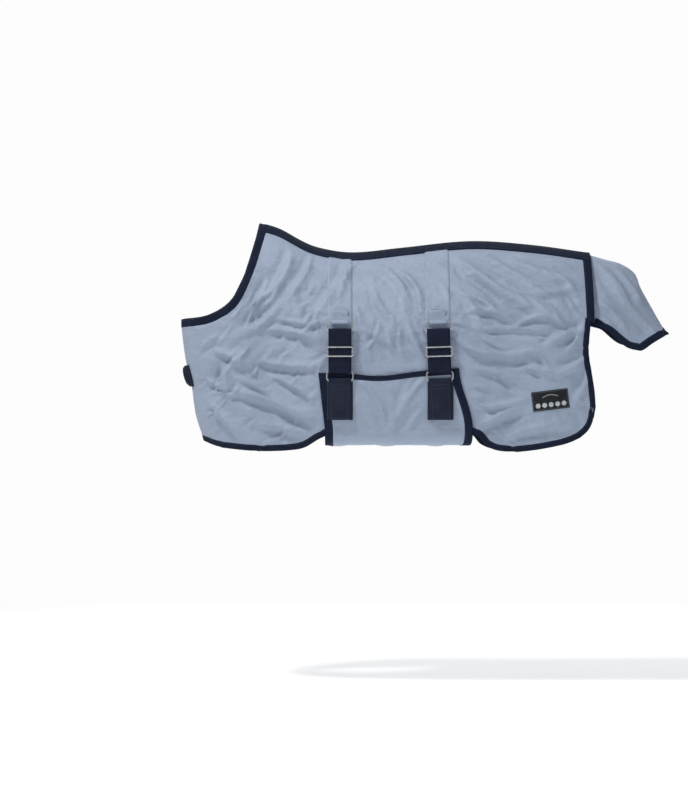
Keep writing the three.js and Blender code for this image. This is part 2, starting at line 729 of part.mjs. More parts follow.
// Tail flap: a saddle of cloth from the rear edge back over the tail
const tailShape = [
  [0, 0, 165],
  [0.21, 11, 184],
  [0.42, 22, 217],
  [0.6, 46, 226],
  [0.65, 72, 225],
  [0.79, 119, 208],
  [0.97, 178, 190],
  [1, 184, 189],
];
const tailTop = -SPINE.at(-1)[1] - TAIL_STEP;
const tailRidge = through(tailShape.map(([share, top]) => [share, tailTop - top]));
const tailEdge = through(tailShape.map(([share, , edge]) => [share, tailTop - edge]));
const TAIL_START = BACK - TAIL_LAP;
const SADDLE_SHARE = 0.85; // how far round its curve each side of the saddle hangs

function tailPoint(u, v) {
  const across = 2 * v - 1;
  const z = lerp(tailRidge(u), tailEdge(u), across ** 2);
  const half = lerp(REAR_HALF * TAIL_FRONT_SHARE, TAIL_REAR_HALF, smoothstep(u, 0.1, 1));
  const curve = rounded(SADDLE_SHARE * across ** 2, lerp(CREST_POWER, 2, u));
  return new THREE.Vector3(TAIL_START + u * TAIL_LENGTH, Math.sign(across) * half * curve, z);
}
const tailSheet = (inner, outer) => sheet(tailPoint, 10, 12, inner, outer);
const tailLine = [];
const EDGE_STEPS = 10;
for (let k = 0; k <= EDGE_STEPS; k++) {
  const share = k / EDGE_STEPS;
  tailLine.push([TAIL_START + share * TAIL_LENGTH, tailEdge(share)]);
}
tailLine.push([TAIL_START + TAIL_LENGTH + TAIL_TAPE / 2, tailRidge(1) + TAIL_TAPE]);
const tailTapeArea = (width) => sideCutter(band(tailLine, -REACH / 10, width));
const tail = new THREE.Group();
rug.add(tail);
const tailCloth = tailSheet(0, CLOTH).subtract(tailTapeArea(TAIL_TAPE + GAP));
add("tail_flap", tailCloth, mesh_blue, 0.85, 0, tail);
const tailTape = tailSheet(TAPE_INNER, TAPE_OUTER).intersect(tailTapeArea(TAIL_TAPE));
add("tail_flap_binding", tailTape, navy, 0.85, 0, tail);

export default rug;
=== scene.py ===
# A foal's fly sheet: mesh cloth with bound edges, two chest flaps, a belly flap on two straps and a
# tail flap. +X runs towards the tail, -Y is the near side and +Z is up. Metres.
import math

import bmesh
import bpy
import numpy as np
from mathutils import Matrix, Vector


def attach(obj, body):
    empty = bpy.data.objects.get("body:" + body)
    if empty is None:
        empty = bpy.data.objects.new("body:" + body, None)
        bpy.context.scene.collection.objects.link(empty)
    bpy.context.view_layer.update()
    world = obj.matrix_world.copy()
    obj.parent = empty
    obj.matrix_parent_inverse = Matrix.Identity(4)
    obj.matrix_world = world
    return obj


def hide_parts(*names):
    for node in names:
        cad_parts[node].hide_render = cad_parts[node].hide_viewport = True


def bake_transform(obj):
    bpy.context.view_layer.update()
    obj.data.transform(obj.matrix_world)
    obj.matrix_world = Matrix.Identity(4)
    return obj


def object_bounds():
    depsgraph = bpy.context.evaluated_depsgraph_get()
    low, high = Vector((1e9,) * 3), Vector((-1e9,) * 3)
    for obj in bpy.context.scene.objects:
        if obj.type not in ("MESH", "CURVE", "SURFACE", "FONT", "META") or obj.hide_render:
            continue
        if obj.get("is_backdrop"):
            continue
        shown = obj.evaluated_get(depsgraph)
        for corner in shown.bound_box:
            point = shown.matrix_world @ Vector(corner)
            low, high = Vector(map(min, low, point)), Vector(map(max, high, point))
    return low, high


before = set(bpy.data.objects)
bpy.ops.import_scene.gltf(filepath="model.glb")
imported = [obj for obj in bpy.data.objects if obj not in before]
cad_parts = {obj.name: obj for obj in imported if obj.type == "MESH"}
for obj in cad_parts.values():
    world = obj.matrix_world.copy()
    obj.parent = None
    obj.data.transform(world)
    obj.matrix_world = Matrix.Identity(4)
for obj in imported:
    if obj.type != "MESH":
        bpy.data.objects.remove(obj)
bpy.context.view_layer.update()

# Sizes of the rug as it lies on the foal
BACK = 0.766
DROP = 0.531
CHEST_REACH = 0.195
NECK_DEPTH = 0.240
CREST_DEPTH = 0.185
CREST_POWER = 1.4
CHEST_ROUND = 0.150
SHOULDER_HALF = 0.115
BARREL_HALF = 0.150
HIP_HALF = 0.147
REAR_HALF = 0.124
TUCK = 0.14
TUCK_HEIGHT = 0.130
CLOTH = 0.0025
CLOTH_WALL = 0.0009
TAPE_OUTER = 0.0034
TAPE_INNER = 0.0004
TAPE_PITCH = 0.005
NECK_TAPE = 0.019
HEM_TAPE = 0.014
SEAM_TAPE = 0.019
SEAM_DROP = 0.158
CHEST_OVERLAP = 0.034
CHEST_LIFT = 0.0055
BELLY_FRONT = 0.124
BELLY_REAR = 0.450
BELLY_RAKE = 0.032
QUARTER = math.pi / 2


# ---------------------------------------------------------------- the rug's surface


def through(stations):
    """A smooth line through (position, value) stations, level beyond both ends."""
    at, value = np.array(stations, float).T
    ends = np.arange(len(at))
    after, before = np.minimum(ends + 1, len(at) - 1), np.maximum(ends - 1, 0)
    slope = (value[after] - value[before]) / (at[after] - at[before])

    def line(x):
        x = np.clip(x, at[0], at[-1])
        k = np.clip(np.searchsorted(at, x, side="right") - 1, 0, len(at) - 2)
        span = at[k + 1] - at[k]
        t = (x - at[k]) / span
        rest = 1 - t
        return (
            value[k] * rest**2 * (1 + 2 * t)
            + value[k + 1] * t**2 * (3 - 2 * t)
            + slope[k] * span * t * rest**2
            - slope[k + 1] * span * t**2 * rest
        )

    return line


def smooth(t, low=0.0, high=1.0):
    t = np.clip((t - low) / (high - low), 0, 1)
    return t * t * (3 - 2 * t)


def lerp(a, b, t):
    return a + (b - a) * t


SPINE = [
    (0, 0), (0.037, 8), (0.093, 33), (0.147, 52), (0.26, 66), (0.415, 55), (0.63, 39), (0.82, 48), (1, 67),
]
spine_line = through([(share * BACK, -fall / 1000) for share, fall in SPINE])
half_width = through([
    (-CHEST_REACH, SHOULDER_HALF - 0.003),
    (0, SHOULDER_HALF + 0.003),
    (0.19 * BACK, BARREL_HALF - 0.001),
    (0.3 * BACK, BARREL_HALF),
    (0.44 * BACK, BARREL_HALF),
    (0.56 * BACK, BARREL_HALF),
    (0.74 * BACK, (BARREL_HALF + HIP_HALF) / 2 - 0.005),
    (0.87 * BACK, HIP_HALF),
    (1.01 * BACK, REAR_HALF),
])
chest_front = through([
    (depth * DROP, -share * CHEST_REACH)
    for depth, share in [
        (-1.05, 0.68), (-0.957, 0.73), (-0.84, 0.83), (-0.71, 0.877), (-0.59, 0.954), (-0.455, 1),
    ]
])


WITHERS_ROUND = 0.08
WITHERS_SLOPE = 0.28


def crest(x):
    """Height of the spine line, carried on over the neck with a soft turn at the withers."""
    total = 0
    for step, share in ((-0.024, 1), (-0.016, 2), (-0.008, 3), (0, 4), (0.008, 3), (0.016, 2), (0.024, 1)):
        at = x + step
        back = np.clip(-at, 0, WITHERS_ROUND)
        turn = back**2 / (2 * WITHERS_ROUND) + np.maximum(-at - WITHERS_ROUND, 0)
        total += share / 16 * (spine_line(at) + WITHERS_SLOPE * np.maximum(-at, 0) + (0.5 - WITHERS_SLOPE) * turn)
    return total


def rounded(t, power):
    return (1 - (1 - np.clip(t, 0, 1)) ** power) ** (1 / power)


def over_crest(x, z):
    """How far out the cloth is at a height, as a share of the half width, with a soft turn onto the side."""
    t = (crest(x) - z) / CREST_DEPTH
    soft = 0.16 * smooth(t, 0.3, 0.85)
    return (rounded(t - soft, CREST_POWER) + 2 * rounded(t, CREST_POWER) + rounded(t + soft, CREST_POWER)) / 4


def tucked(z):
    return 1 - TUCK * np.clip((TUCK_HEIGHT - DROP - z) / TUCK_HEIGHT, 0, 1.2) ** 2


def run_of(c, z):
    """x of the point that is c round the chest and on along the side, at height z."""
    return chest_front(z) + CHEST_ROUND * (1 - np.cos(np.minimum(c, QUARTER)) + np.maximum(c - QUARTER, 0))


def turn_of(x, z):
    """The c of a point on the side, from its x and z."""
    share = (x - chest_front(z)) / CHEST_ROUND
    return np.where(share < 1, np.arccos(np.clip(1 - share, -1, 1)), QUARTER + share - 1)


def nominal(side, c, s):
    """The rug's bare surface: c turns round the chest and runs on along the side, s runs down."""
    c, s = np.broadcast_arrays(np.asarray(c, float), np.asarray(s, float))
    top = crest(run_of(c, -NECK_DEPTH))
    fall = np.where(s < 1, np.abs(s) ** CREST_POWER, 1 + CREST_POWER * (s - 1))
    z = top - CREST_DEPTH * fall
    x = run_of(c, z)
    y = half_width(x) * over_crest(x, z) * np.sin(np.minimum(c, QUARTER)) * tucked(z)
    lift = CHEST_LIFT * (1 - smooth(c, 0.06, 0.5)) if side < 0 else 0
    return np.stack([x - lift, side * y, z], -1)


def unit(v):
    return v / np.maximum(np.linalg.norm(v, axis=-1, keepdims=True), 1e-12)


# Folds, each (x, z) to (x, z), how far it bows sideways, its half width and its height, in millimetres
NEAR_FOLDS = [
    (197, -75, 120, -215, 8, 13, 6), (215, -80, 168, -190, -6, 9, 5), (60, -60, 10, -170, 10, 16, 6),
    (110, -60, 40, -190, 12, 12, 5), (30, -200, -60, -262, 8, 14, 6), (5, -130, -35, -205, 6, 10, 4),
    (-84, -390, 132, -471, 9, 15, 8), (-60, -365, 60, -440, 8, 10, 5), (-37, -318, 139, -332, -7, 12, 6),
    (-120, -300, -20, -350, 7, 12, 5), (-150, -420, -60, -500, 5, 14, 5), (-20, -470, 110, -500, 6, 13, 5),
    (-100, -330, -70, -440, -8, 16, 5), (0, -250, 120, -275, 9, 13, 5), (20, -360, 118, -420, 6, 9, 5),
    (311, -111, 364, -206, 14, 11, 7), (250, -95, 330, -170, 10, 14, 5), (250, -150, 300, -235, -8, 11, 5),
    (441, -77, 677, -227, -10, 15, 8), (470, -68, 640, -150, 8, 12, 5), (540, -64, 735, -150, -6, 14, 6),
    (600, -75, 742, -120, 6, 10, 5), (640, -170, 742, -160, 6, 12, 5), (476, -206, 587, -241, 13, 10, 7),
    (470, -170, 540, -215, 8, 9, 5), (585, -240, 660, -222, 8, 9, 5), (469, -292, 631, -306, -9, 12, 7),
    (600, -300, 655, -330, 10, 9, 5), (480, -340, 600, -380, 9, 12, 6), (485, -485, 610, -425, 8, 13, 7),
    (500, -430, 640, -395, -7, 11, 5), (560, -500, 700, -470, 7, 12, 5), (754, -334, 712, -429, 8, 12, 7),
    (757, -300, 680, -350, 8, 11, 6), (750, -250, 650, -285, -7, 12, 6), (745, -225, 700, -300, 6, 10, 5),
    (720, -430, 752, -480, 6, 10, 4), (480, -120, 560, -190, 9, 10, 4), (440, -150, 500, -240, 9, 12, 4),
    (610, -180, 700, -250, 8, 11, 4), (-30, -280, -120, -430, -14, 20, 5), (60, -130, 130, -300, -16, 22, 5),
    (300, -75, 420, -105, 5, 11, 4), (590, -340, 700, -365, 7, 11, 4), (420, -250, 560, -330, -10, 15, 4),
    (230, -250, 320, -320, 8, 12, 4), (200, -180, 240, -330, 8, 16, 4), (330, -230, 385, -330, -8, 13, 5),
    (-170, -300, -110, -265, 6, 11, 4), (-160, -360, -90, -385, -5, 10, 4), (560, -130, 690, -190, 6, 9, 3),
    (660, -100, 745, -205, 7, 9, 4), (500, -250, 700, -262, 8, 9, 4), (20, -220, 150, -232, -8, 9, 4),
]
OFF_FOLDS = [
    (180, -80, 90, -230, -9, 14, 6), (230, -90, 300, -240, 12, 13, 6), (70, -70, 0, -190, 9, 14, 5),
    (20, -220, -80, -290, 8, 13, 6), (-110, -370, 110, -455, 10, 15, 7), (-70, -300, 150, -345, 8, 12, 6),
    (-140, -420, -20, -505, 6, 13, 5), (10, -270, 170, -300, -8, 12, 5), (330, -100, 400, -260, 13, 12, 6),
    (420, -80, 700, -240, 12, 15, 8), (520, -70, 740, -170, -7, 13, 6), (440, -220, 600, -260, 12, 11, 6),
    (460, -310, 650, -330, -9, 12, 7), (490, -480, 640, -420, 8, 13, 6), (560, -500, 700, -465, 7, 12, 5),
    (750, -330, 690, -430, 8, 12, 6), (756, -280, 620, -350, 9, 12, 5), (200, -330, 430, -370, 9, 15, 6),
    (220, -430, 420, -400, -8, 14, 6), (300, -300, 350, -440, 9, 14, 5), (130, -380, 220, -470, 8, 12, 5),
    (60, -130, 130, -300, -16, 22, 5), (600, -180, 700, -250, 8, 11, 4), (400, -460, 470, -380, 7, 12, 5),
]
CRUMPLE = np.random.default_rng(75).uniform(-1, 1, (14, 4))


def small_creases(seed, count):
    """Short creases over one side, most of them slanting the way the weight of the cloth pulls it."""
    chance = np.random.default_rng(seed)
    made = []
    for _ in range(count):
        x, z = chance.uniform(-170, 750), chance.uniform(-505, -95)
        pull = np.interp(x, [-170, 120, 300, 480, 750], [-150, -118, -70, -28, -40])
        slant = math.radians(pull + chance.normal(0, 16))
        long, wide = chance.uniform(30, 100), chance.uniform(5, 8.5)
        made.append((
            x, z, x + long * math.cos(slant), z + long * math.sin(slant),
            chance.uniform(-10, 10), wide, chance.uniform(1.4, 3.2),
        ))
    return made


NEAR_FOLDS += small_creases(3, 150)
OFF_FOLDS += small_creases(8, 150)


def fold_height(folds, x, z):
    """How far the folds stand out at (x, z)."""
    x, z = x * 1000, z * 1000
    total = np.zeros(np.shape(x))
    for xa, za, xb, zb, bow, wide, high in folds:
        long = math.hypot(xb - xa, zb - za)
        ux, uz = (xb - xa) / long, (zb - za) / long
        t = ((x - xa) * ux + (z - za) * uz) / long
        d = (z - za) * ux - (x - xa) * uz - bow * 4 * t * (1 - t)
        d = np.where(np.abs(t - 0.5) < 1.2, d, 1e3)
        taper = smooth(t, -0.15, 0.3) * smooth(1.15 - t, 0, 0.45)
        spread = 0.68 * wide * (0.75 + 0.5 * t)
        ridge = np.exp(-((d / spread) ** 2))
        trough = np.exp(-(((d + 1.9 * spread) / (1.3 * spread)) ** 2))
        total += 1.45 * high * taper * (ridge - 0.65 * trough)
    for k, (a, b, phase, size) in enumerate(CRUMPLE):
        pitch = 26 + 9 * k
        bend = 2 * np.sin(z / 61 + x / 83 + k)
        total += 0.16 * (1 + k / 5) * size * np.sin((x * a + z * b) * 6.3 / pitch + 9 * phase + bend)
    return total / 1000


def calm(x, z, side):
    """1 on free cloth, less where bands, straps, the belly flap or the label lie on it."""
    free = smooth(crest(x) - z, 0.012, 0.06)
    if side > 0:
        return free
    flap_end = -BELLY_REAR - BELLY_RAKE
    flap = smooth(x, BELLY_FRONT - 0.025, BELLY_FRONT + 0.005) * smooth(-x, flap_end - 0.02, flap_end + 0.01)
    flap *= smooth(-z, 0.325, 0.350)
    straps = sum(np.exp(-(((x - at) / 0.036) ** 4)) for at in (0.1735, 0.401)) * smooth(-z, 0.160, 0.200)
    label = np.exp(-(((x - 0.661) / 0.060) ** 4) - ((z + 0.411) / 0.042) ** 4)
    return free * (1 - 0.93 * np.clip(np.maximum(flap, straps) + label, 0, 1))


def side_surface(side):
    """Places on one side of the rug, h off the bare surface, folds included."""
    folds = NEAR_FOLDS if side < 0 else OFF_FOLDS

    def surface(c, s, h=0.0):
        step = 1e-3
        point = nominal(side, c, s)
        across = nominal(side, c + step, s) - nominal(side, c - step, s)
        down = nominal(side, c, s + step) - nominal(side, c, s - step if np.min(s) > step else s)
        out = side * unit(np.cross(across, down))
        z = point[..., 2]
        x = chest_front(z) + CHEST_ROUND * (1 + c - QUARTER)
        fold = fold_height(folds, x, z) * calm(x, z, side)
        edge = smooth(x, -CHEST_REACH - 0.05, -CHEST_REACH + 0.09) * (1 - 0.85 * smooth(x, BACK - 0.06, BACK - 0.024))
        edge *= 1 - 0.6 * smooth(hem_at(x) + 0.034 - z, 0, 0.022)
        fold = np.clip(fold, -0.012, 0.0115) * lerp(0.25, 1, edge)
        return point + out * np.asarray(h + fold)[..., None]

    return surface


near, off = side_surface(-1), side_surface(1)


# ---------------------------------------------------------------- side-view lines


def curve_through(points, steps=24):
    """A smooth curve through points, close together."""
    p = np.array(points, float)
    p = np.vstack([p[0], p, p[-1]])
    t = np.linspace(0, 1, steps, endpoint=False)[:, None]
    made = []
    for a, b, c, d in zip(p, p[1:], p[2:], p[3:]):
        va, vb = (c - a) / 2, (d - b) / 2
        made.append((2 * b - 2 * c + va + vb) * t**3 + (3 * c - 3 * b - 2 * va - vb) * t**2 + va * t + b)
    return np.vstack([*made, p[-1:]])


neckline = curve_through([
    (-reach * CHEST_REACH, -depth * NECK_DEPTH)
    for reach, depth in [
        (-0.03, -0.06), (0, 0), (0.046, 0.183), (0.164, 0.508), (0.344, 0.8), (0.641, 0.958), (1, 1), (1.2, 1.01),
    ]
])
BEHIND_FLAP = -DROP + 0.046
seam_bottom = -0.067 - SEAM_DROP
hemline = curve_through([
    (-CHEST_REACH - 0.02, -DROP + 0.046),
    (-CHEST_REACH, -DROP + 0.042),
    (-0.75 * CHEST_REACH, -DROP + 0.022),
    (-0.5 * CHEST_REACH, -DROP + 0.007),
    (-0.014, -DROP),
    (BELLY_FRONT - 0.070, -DROP + 0.002),
    (BELLY_FRONT - 0.032, -DROP + 0.009),
    (BELLY_FRONT + 0.008, -DROP + 0.032),
    (BELLY_FRONT + 0.060, BEHIND_FLAP),
    (BELLY_REAR - 0.030, BEHIND_FLAP),
    (BELLY_REAR + BELLY_RAKE + 0.005, -DROP + 0.039),
    (BELLY_REAR + BELLY_RAKE + 0.034, -DROP + 0.012),
    (BELLY_REAR + BELLY_RAKE + 0.070, -DROP),
    (0.8 * BACK, -DROP + 0.001),
    (0.915 * BACK, -DROP + 0.018),
    (0.975 * BACK, -DROP + 0.044),
    (BACK - 0.001, -DROP + 0.084),
    (BACK, -DROP + 0.130),
    (BACK - 0.009, -DROP + 0.188),
    (BACK - 0.015, -DROP + 0.233),
    (BACK - 0.009, seam_bottom),
])
corner = int(np.argmax(hemline[:, 0]))
hem_low, hem_rear = hemline[: corner + 1], hemline[corner:]


def neck_at(x):
    return np.interp(x, neckline[::-1, 0], neckline[::-1, 1])


def hem_at(x):
    return np.interp(x, hem_low[:, 0], hem_low[:, 1])


def rear_at(z):
    """x of the rug's rear edge at height z."""
    edge = np.interp(z, hem_rear[:, 1], hem_rear[:, 0])
    return lerp(edge, BACK, smooth(z, seam_bottom - 0.002, seam_bottom + 0.014))


# ---------------------------------------------------------------- making meshes


def mesh_object(name, points, faces, uv=None, material=None):
    """A smooth-shaded object from points and faces, with uv a pair for each point."""
    mesh = bpy.data.meshes.new(name)
    mesh.from_pydata([tuple(p) for p in points], [], [tuple(f) for f in faces])
    mesh.polygons.foreach_set("use_smooth", [True] * len(mesh.polygons))
    if uv is not None:
        corners = np.empty(len(mesh.loops), np.int32)
        mesh.loops.foreach_get("vertex_index", corners)
        layer = mesh.uv_layers.new(name="cloth")
        layer.data.foreach_set("uv", np.asarray(uv, np.float32)[corners].ravel())
    if material:
        mesh.materials.append(material)
    obj = bpy.data.objects.new(name, mesh)
    bpy.context.scene.collection.objects.link(obj)
    return obj


def face_out(obj):
    """Turns the faces of a closed shell outwards."""
    made = bmesh.new()
    made.from_mesh(obj.data)
    bmesh.ops.remove_doubles(made, verts=made.verts, dist=1e-6)
    bmesh.ops.recalc_face_normals(made, faces=made.faces)
    made.to_mesh(obj.data)
    made.free()
    return obj


def lengths(points, axis):
    """Running length along an axis of a grid of points."""
    step = np.linalg.norm(np.diff(points, axis=axis), axis=-1)
    start = np.zeros_like(np.take(step, [0], axis=axis))
    return np.concatenate([start, np.cumsum(step, axis=axis)], axis=axis)


def grid_faces(rows, columns, around=False):
    """Quads of a grid of points, closed round its columns where asked."""
    i, j = np.meshgrid(np.arange(rows - 1), np.arange(columns - (not around)), indexing="ij")
    k = (j + 1) % columns
    quads = np.stack([i * columns + j, i * columns + k, (i + 1) * columns + k, (i + 1) * columns + j], -1)
    return quads.reshape(-1, 4).tolist()


def cloth_sheet(name, points, outward, uv, material, wall=CLOTH_WALL):
    """A sheet of cloth from a grid of points, whose outer face looks along outward at its middle."""
    rows, columns = points.shape[:2]
    faces = grid_faces(rows, columns)
    i, j = rows // 2, columns // 2
    made = np.cross(points[i, j + 1] - points[i, j], points[i + 1, j] - points[i, j])
    if made @ np.asarray(outward) < 0:
        faces = [f[::-1] for f in faces]
    obj = mesh_object(name, points.reshape(-1, 3), faces, uv.reshape(-1, 2), material)
    thick = obj.modifiers.new("wall", "SOLIDIFY")
    thick.thickness = wall
    thick.offset = -1
    return obj


def section_sweep(name, sections, uv, material):
    """A closed piece swept through sections: rows of points, each row once round."""
    count, around = sections.shape[:2]
    faces = grid_faces(count, around, around=True)
    faces.append(list(range(around)))
    faces.append(list(range((count - 1) * around, count * around)))
    return face_out(mesh_object(name, sections.reshape(-1, 3), faces, uv.reshape(-1, 2), material))


# ---------------------------------------------------------------- tapes along a line


def even_line(surface, ab, pitch):
    """The line again, with its points an even pitch apart on the surface."""
    ab = np.asarray(ab, float)
    run = lengths(surface(ab[:, 0], ab[:, 1]), 0)
    at = np.linspace(0, run[-1], max(int(run[-1] / pitch), 2) + 1)
    return np.stack([np.interp(at, run, ab[:, k]) for k in (0, 1)], -1)


def step_across(surface, ab, distance, steps=5):
    """The line moved over the surface by each distance in turn, to the left of its direction seen from outside."""
    lines, e = [ab], 1e-3
    for _ in range(steps):
        a, b = lines[-1].T
        along = np.gradient(surface(a, b), axis=0)
        da = (surface(a + e, b) - surface(a - e, b)) / (2 * e)
        db = (surface(a, b + e) - surface(a, b - e)) / (2 * e)
        out = unit(surface(a, b, 1e-3) - surface(a, b, 0))
        left = unit(np.cross(out, along)) * distance / steps
        aa, ab_, bb = (da * da).sum(-1), (da * db).sum(-1), (db * db).sum(-1)
        pa, pb = (da * left).sum(-1), (db * left).sum(-1)
        size = aa * bb - ab_**2
        move = np.stack([(bb * pa - ab_ * pb) / size, (aa * pb - ab_ * pa) / size], -1)
        lines.append(lines[-1] + move)
    return np.stack(lines, 1)


def binding(name, surface, ab, wide, material):
    """A tape folded over the edge ab of a surface, reaching wide to the left of it, and its stitch line."""
    outer, inner = TAPE_OUTER, TAPE_INNER
    ab = even_line(surface, ab, TAPE_PITCH)
    lines = step_across(surface, ab, wide)
    middle = (outer + inner) / 2
    last = lines.shape[1] - 1
    top = [(k, outer - (0.0007 if k == last else 0)) for k in range(last, -1, -1)]
    under = [(k, inner) for k in range(last + 1)]
    top[-1] = (0, outer - 0.0006)
    under[0] = (0, inner + 0.0006)
    ring = [surface(*lines[:, k].T, h) for k, h in top]
    edge = surface(*lines[:, 0].T, middle)
    beyond = edge + unit(edge - surface(*lines[:, 1].T, middle)) * 0.0011
    ring += [beyond] + [surface(*lines[:, k].T, h) for k, h in under]
    sections = np.stack(ring, 1)
    run = lengths(ring[0], 0)
    share = np.array([k / last * wide for k, _ in top] + [-0.001] + [-k / last * wide for k, _ in under])
    uv = np.stack(np.broadcast_arrays(run[:, None], share[None, :]), -1)
    stitches = surface(*lines[:, last - 1].T, outer + 0.0002)
    return section_sweep(name, sections, uv, material), stitches


# ---------------------------------------------------------------- finishes


class Finish:
    """A material's node tree, with short ways to add to it."""

    def __init__(self, name, roughness, sheen=0.0, metallic=0.0, specular=0.5):
        self.material = bpy.data.materials.new(name)
        self.material.use_nodes = True
        self.tree = self.material.node_tree
        self.shader = self.tree.nodes["Principled BSDF"]
        self.shader.inputs["Roughness"].default_value = roughness
        self.shader.inputs["Sheen Weight"].default_value = sheen
        self.shader.inputs["Sheen Roughness"].default_value = 0.5
        self.shader.inputs["Metallic"].default_value = metallic
        self.shader.inputs["Specular IOR Level"].default_value = specular
        self.places = self.tree.nodes.new("ShaderNodeTexCoord")
        self.heights = []

    def add(self, kind, inputs=(), **settings):
        node = self.tree.nodes.new(kind)
        for key, value in settings.items():
            setattr(node, key, value)
        for key, value in dict(inputs).items():
            if isinstance(value, bpy.types.NodeSocket):
                self.tree.links.new(value, node.inputs[key])
            else:
                node.inputs[key].default_value = value
        return node

    def math(self, operation, a, b=0.0):
        return self.add("ShaderNodeMath", {0: a, 1: b}, operation=operation).outputs[0]

    def noise(self, pitch, detail=2.0, stretch=(1, 1, 1)):
        """Noise from 0 to 1 on the object's own coordinates, its features about pitch across."""
        place = self.add("ShaderNodeMapping", {"Vector": self.places.outputs["Object"], "Scale": stretch})
        made = self.add("ShaderNodeTexNoise", {"Vector": place.outputs[0], "Scale": 1 / pitch, "Detail": detail})
        return made.outputs[0]

    def across(self, axis, pitch):
        """A wave from -1 to 1 over the piece's UV map, in metres."""
        split = self.add("ShaderNodeSeparateXYZ", {0: self.places.outputs["UV"]})
        return self.math("SINE", self.math("MULTIPLY", split.outputs[axis], 2 * math.pi / pitch))

    def colour(self, share, stops):
        """The colour of the piece, from stops of (share, colour)."""
        ramp = self.add("ShaderNodeValToRGB", {0: share})
        ramp.color_ramp.elements.remove(ramp.color_ramp.elements[1])
        for k, (at, rgb) in enumerate(stops):
            stop = ramp.color_ramp.elements[0] if k == 0 else ramp.color_ramp.elements.new(at)
            stop.position, stop.color = at, (*rgb, 1)
        self.tree.links.new(ramp.outputs[0], self.shader.inputs["Base Color"])

    def raised(self, height, distance, strength=1.0):
        self.heights.append((height, distance, strength))

    def done(self):
        last = None
        for height, distance, strength in self.heights:
            inputs = {"Height": height, "Distance": distance, "Strength": strength}
            if last:
                inputs["Normal"] = last
            last = self.add("ShaderNodeBump", inputs).outputs[0]
        if last:
            self.tree.links.new(last, self.shader.inputs["Normal"])
        return self.material


def mesh_cloth_finish():
    """Pale blue open-weave polyester: rows of small holes between shiny threads, softly crumpled."""
    f = Finish("mesh_cloth", 0.55, sheen=0.06, specular=0.4)
    threads = f.math("MULTIPLY", f.across(0, 0.0016), f.across(1, 0.0019))
    holes = f.math("MULTIPLY_ADD", threads, 0.22)
    holes.node.inputs[2].default_value = 0.5
    worn = f.noise(0.045, 3.0)
    share = f.math("ADD", f.math("MULTIPLY", holes, 0.85), f.math("MULTIPLY", worn, 0.15))
    f.colour(share, [
        (0.30, (0.180, 0.228, 0.325)),
        (0.48, (0.272, 0.332, 0.445)),
        (0.62, (0.345, 0.410, 0.530)),
    ])
    f.raised(f.noise(0.034, 3.0, (1, 1, 1.7)), 0.0060, 0.9)
    f.raised(f.noise(0.012, 3.0, (1.5, 1, 1)), 0.0020, 0.8)
    f.raised(threads, 0.00022, 0.6)
    return f.done()


def woven_tape_finish(name, dark, light, ribs, roughness=0.75):
    """Narrow woven tape or webbing: ribs along it, threads across them."""
    f = Finish(name, roughness, specular=0.1)
    rib, thread = f.across(1, ribs), f.across(0, ribs * 0.45)
    weave = f.math("MULTIPLY_ADD", f.math("MULTIPLY", rib, thread), 0.25)
    weave.node.inputs[2].default_value = 0.5
    share = f.math("ADD", f.math("MULTIPLY", weave, 0.6), f.math("MULTIPLY", f.noise(0.03), 0.4))
    f.colour(share, [(0.3, dark), (0.65, light)])
    f.raised(f.noise(0.016, 2.0), 0.0012, 0.6)
    f.raised(rib, 0.00035, 0.7)
    f.raised(thread, 0.0002, 0.5)
    return f.done()


NAVY_DARK, NAVY_LIGHT = (0.0050, 0.0085, 0.022), (0.011, 0.0180, 0.042)
mesh_cloth = mesh_cloth_finish()
navy_binding = woven_tape_finish("navy_binding", NAVY_DARK, NAVY_LIGHT, 0.0022)
navy_webbing = woven_tape_finish("navy_webbing", (0.0055, 0.0075, 0.020), (0.013, 0.017, 0.040), 0.0030)


# ---------------------------------------------------------------- the sides


def side_grid(side, surface, pitch=0.004):
    """Points of one side's cloth, in columns from the chest to the rear edge and rows from the spine to the hem."""
    front = front_turn(side)
    chest_columns = np.linspace(front, QUARTER, int((QUARTER - front) * CHEST_ROUND / pitch))
    side_shares = np.linspace(0, 0.9955, int((BACK + 0.045) / pitch))[1:]
    s = np.linspace(0, 2.6, 520)
    columns = []
    for c, share in [(c, None) for c in chest_columns] + [(None, t) for t in side_shares]:
        at = np.full(s.shape, c if c is not None else QUARTER)
        if share is not None:
            z = nominal(side, at + share * 5.0, s)[:, 2]
            for _ in range(3):
                straight = turn_of(BACK, z)
                at = lerp(QUARTER, straight, share) + (turn_of(rear_at(z), z) - straight) * share**12
                z = nominal(side, at, s)[:, 2]
        place = nominal(side, at, s)
        x, z = place[:, 0], place[:, 2]
        inside = np.nonzero((z <= np.where(x < 0.002, neck_at(x) - 0.0005, 1)) & (z >= hem_at(x) + 0.0005))[0]
        first, last = inside[0], inside[-1]
        run = lengths(place[first : last + 1], 0)
        columns.append((at[first : last + 1], s[first : last + 1], run, lengths(place, 0)[first]))
    rows = int(0.60 / pitch)
    level = np.linspace(0, 1, rows)
    below = []
    for _, _, run, first in columns:
        crowd = np.clip(0.55 * (first + run[-1]) / max(first, 1e-6), 1, 6)
        below.append(level * (first + run[-1]) - first * (1 - (1 - level) ** crowd))
    c = np.stack([np.interp(at, run, turn) for at, (turn, _, run, _) in zip(below, columns)], 1)
    down = np.stack([np.interp(at, run, fall) for at, (_, fall, run, _) in zip(below, columns)], 1)
    points = surface(c, down, CLOTH)
    u = np.broadcast_to(lengths(points, 1)[rows // 2], c.shape)
    v = np.stack([first + at for at, (_, _, _, first) in zip(below, columns)], 1)
    return points, np.stack([u, v], -1)


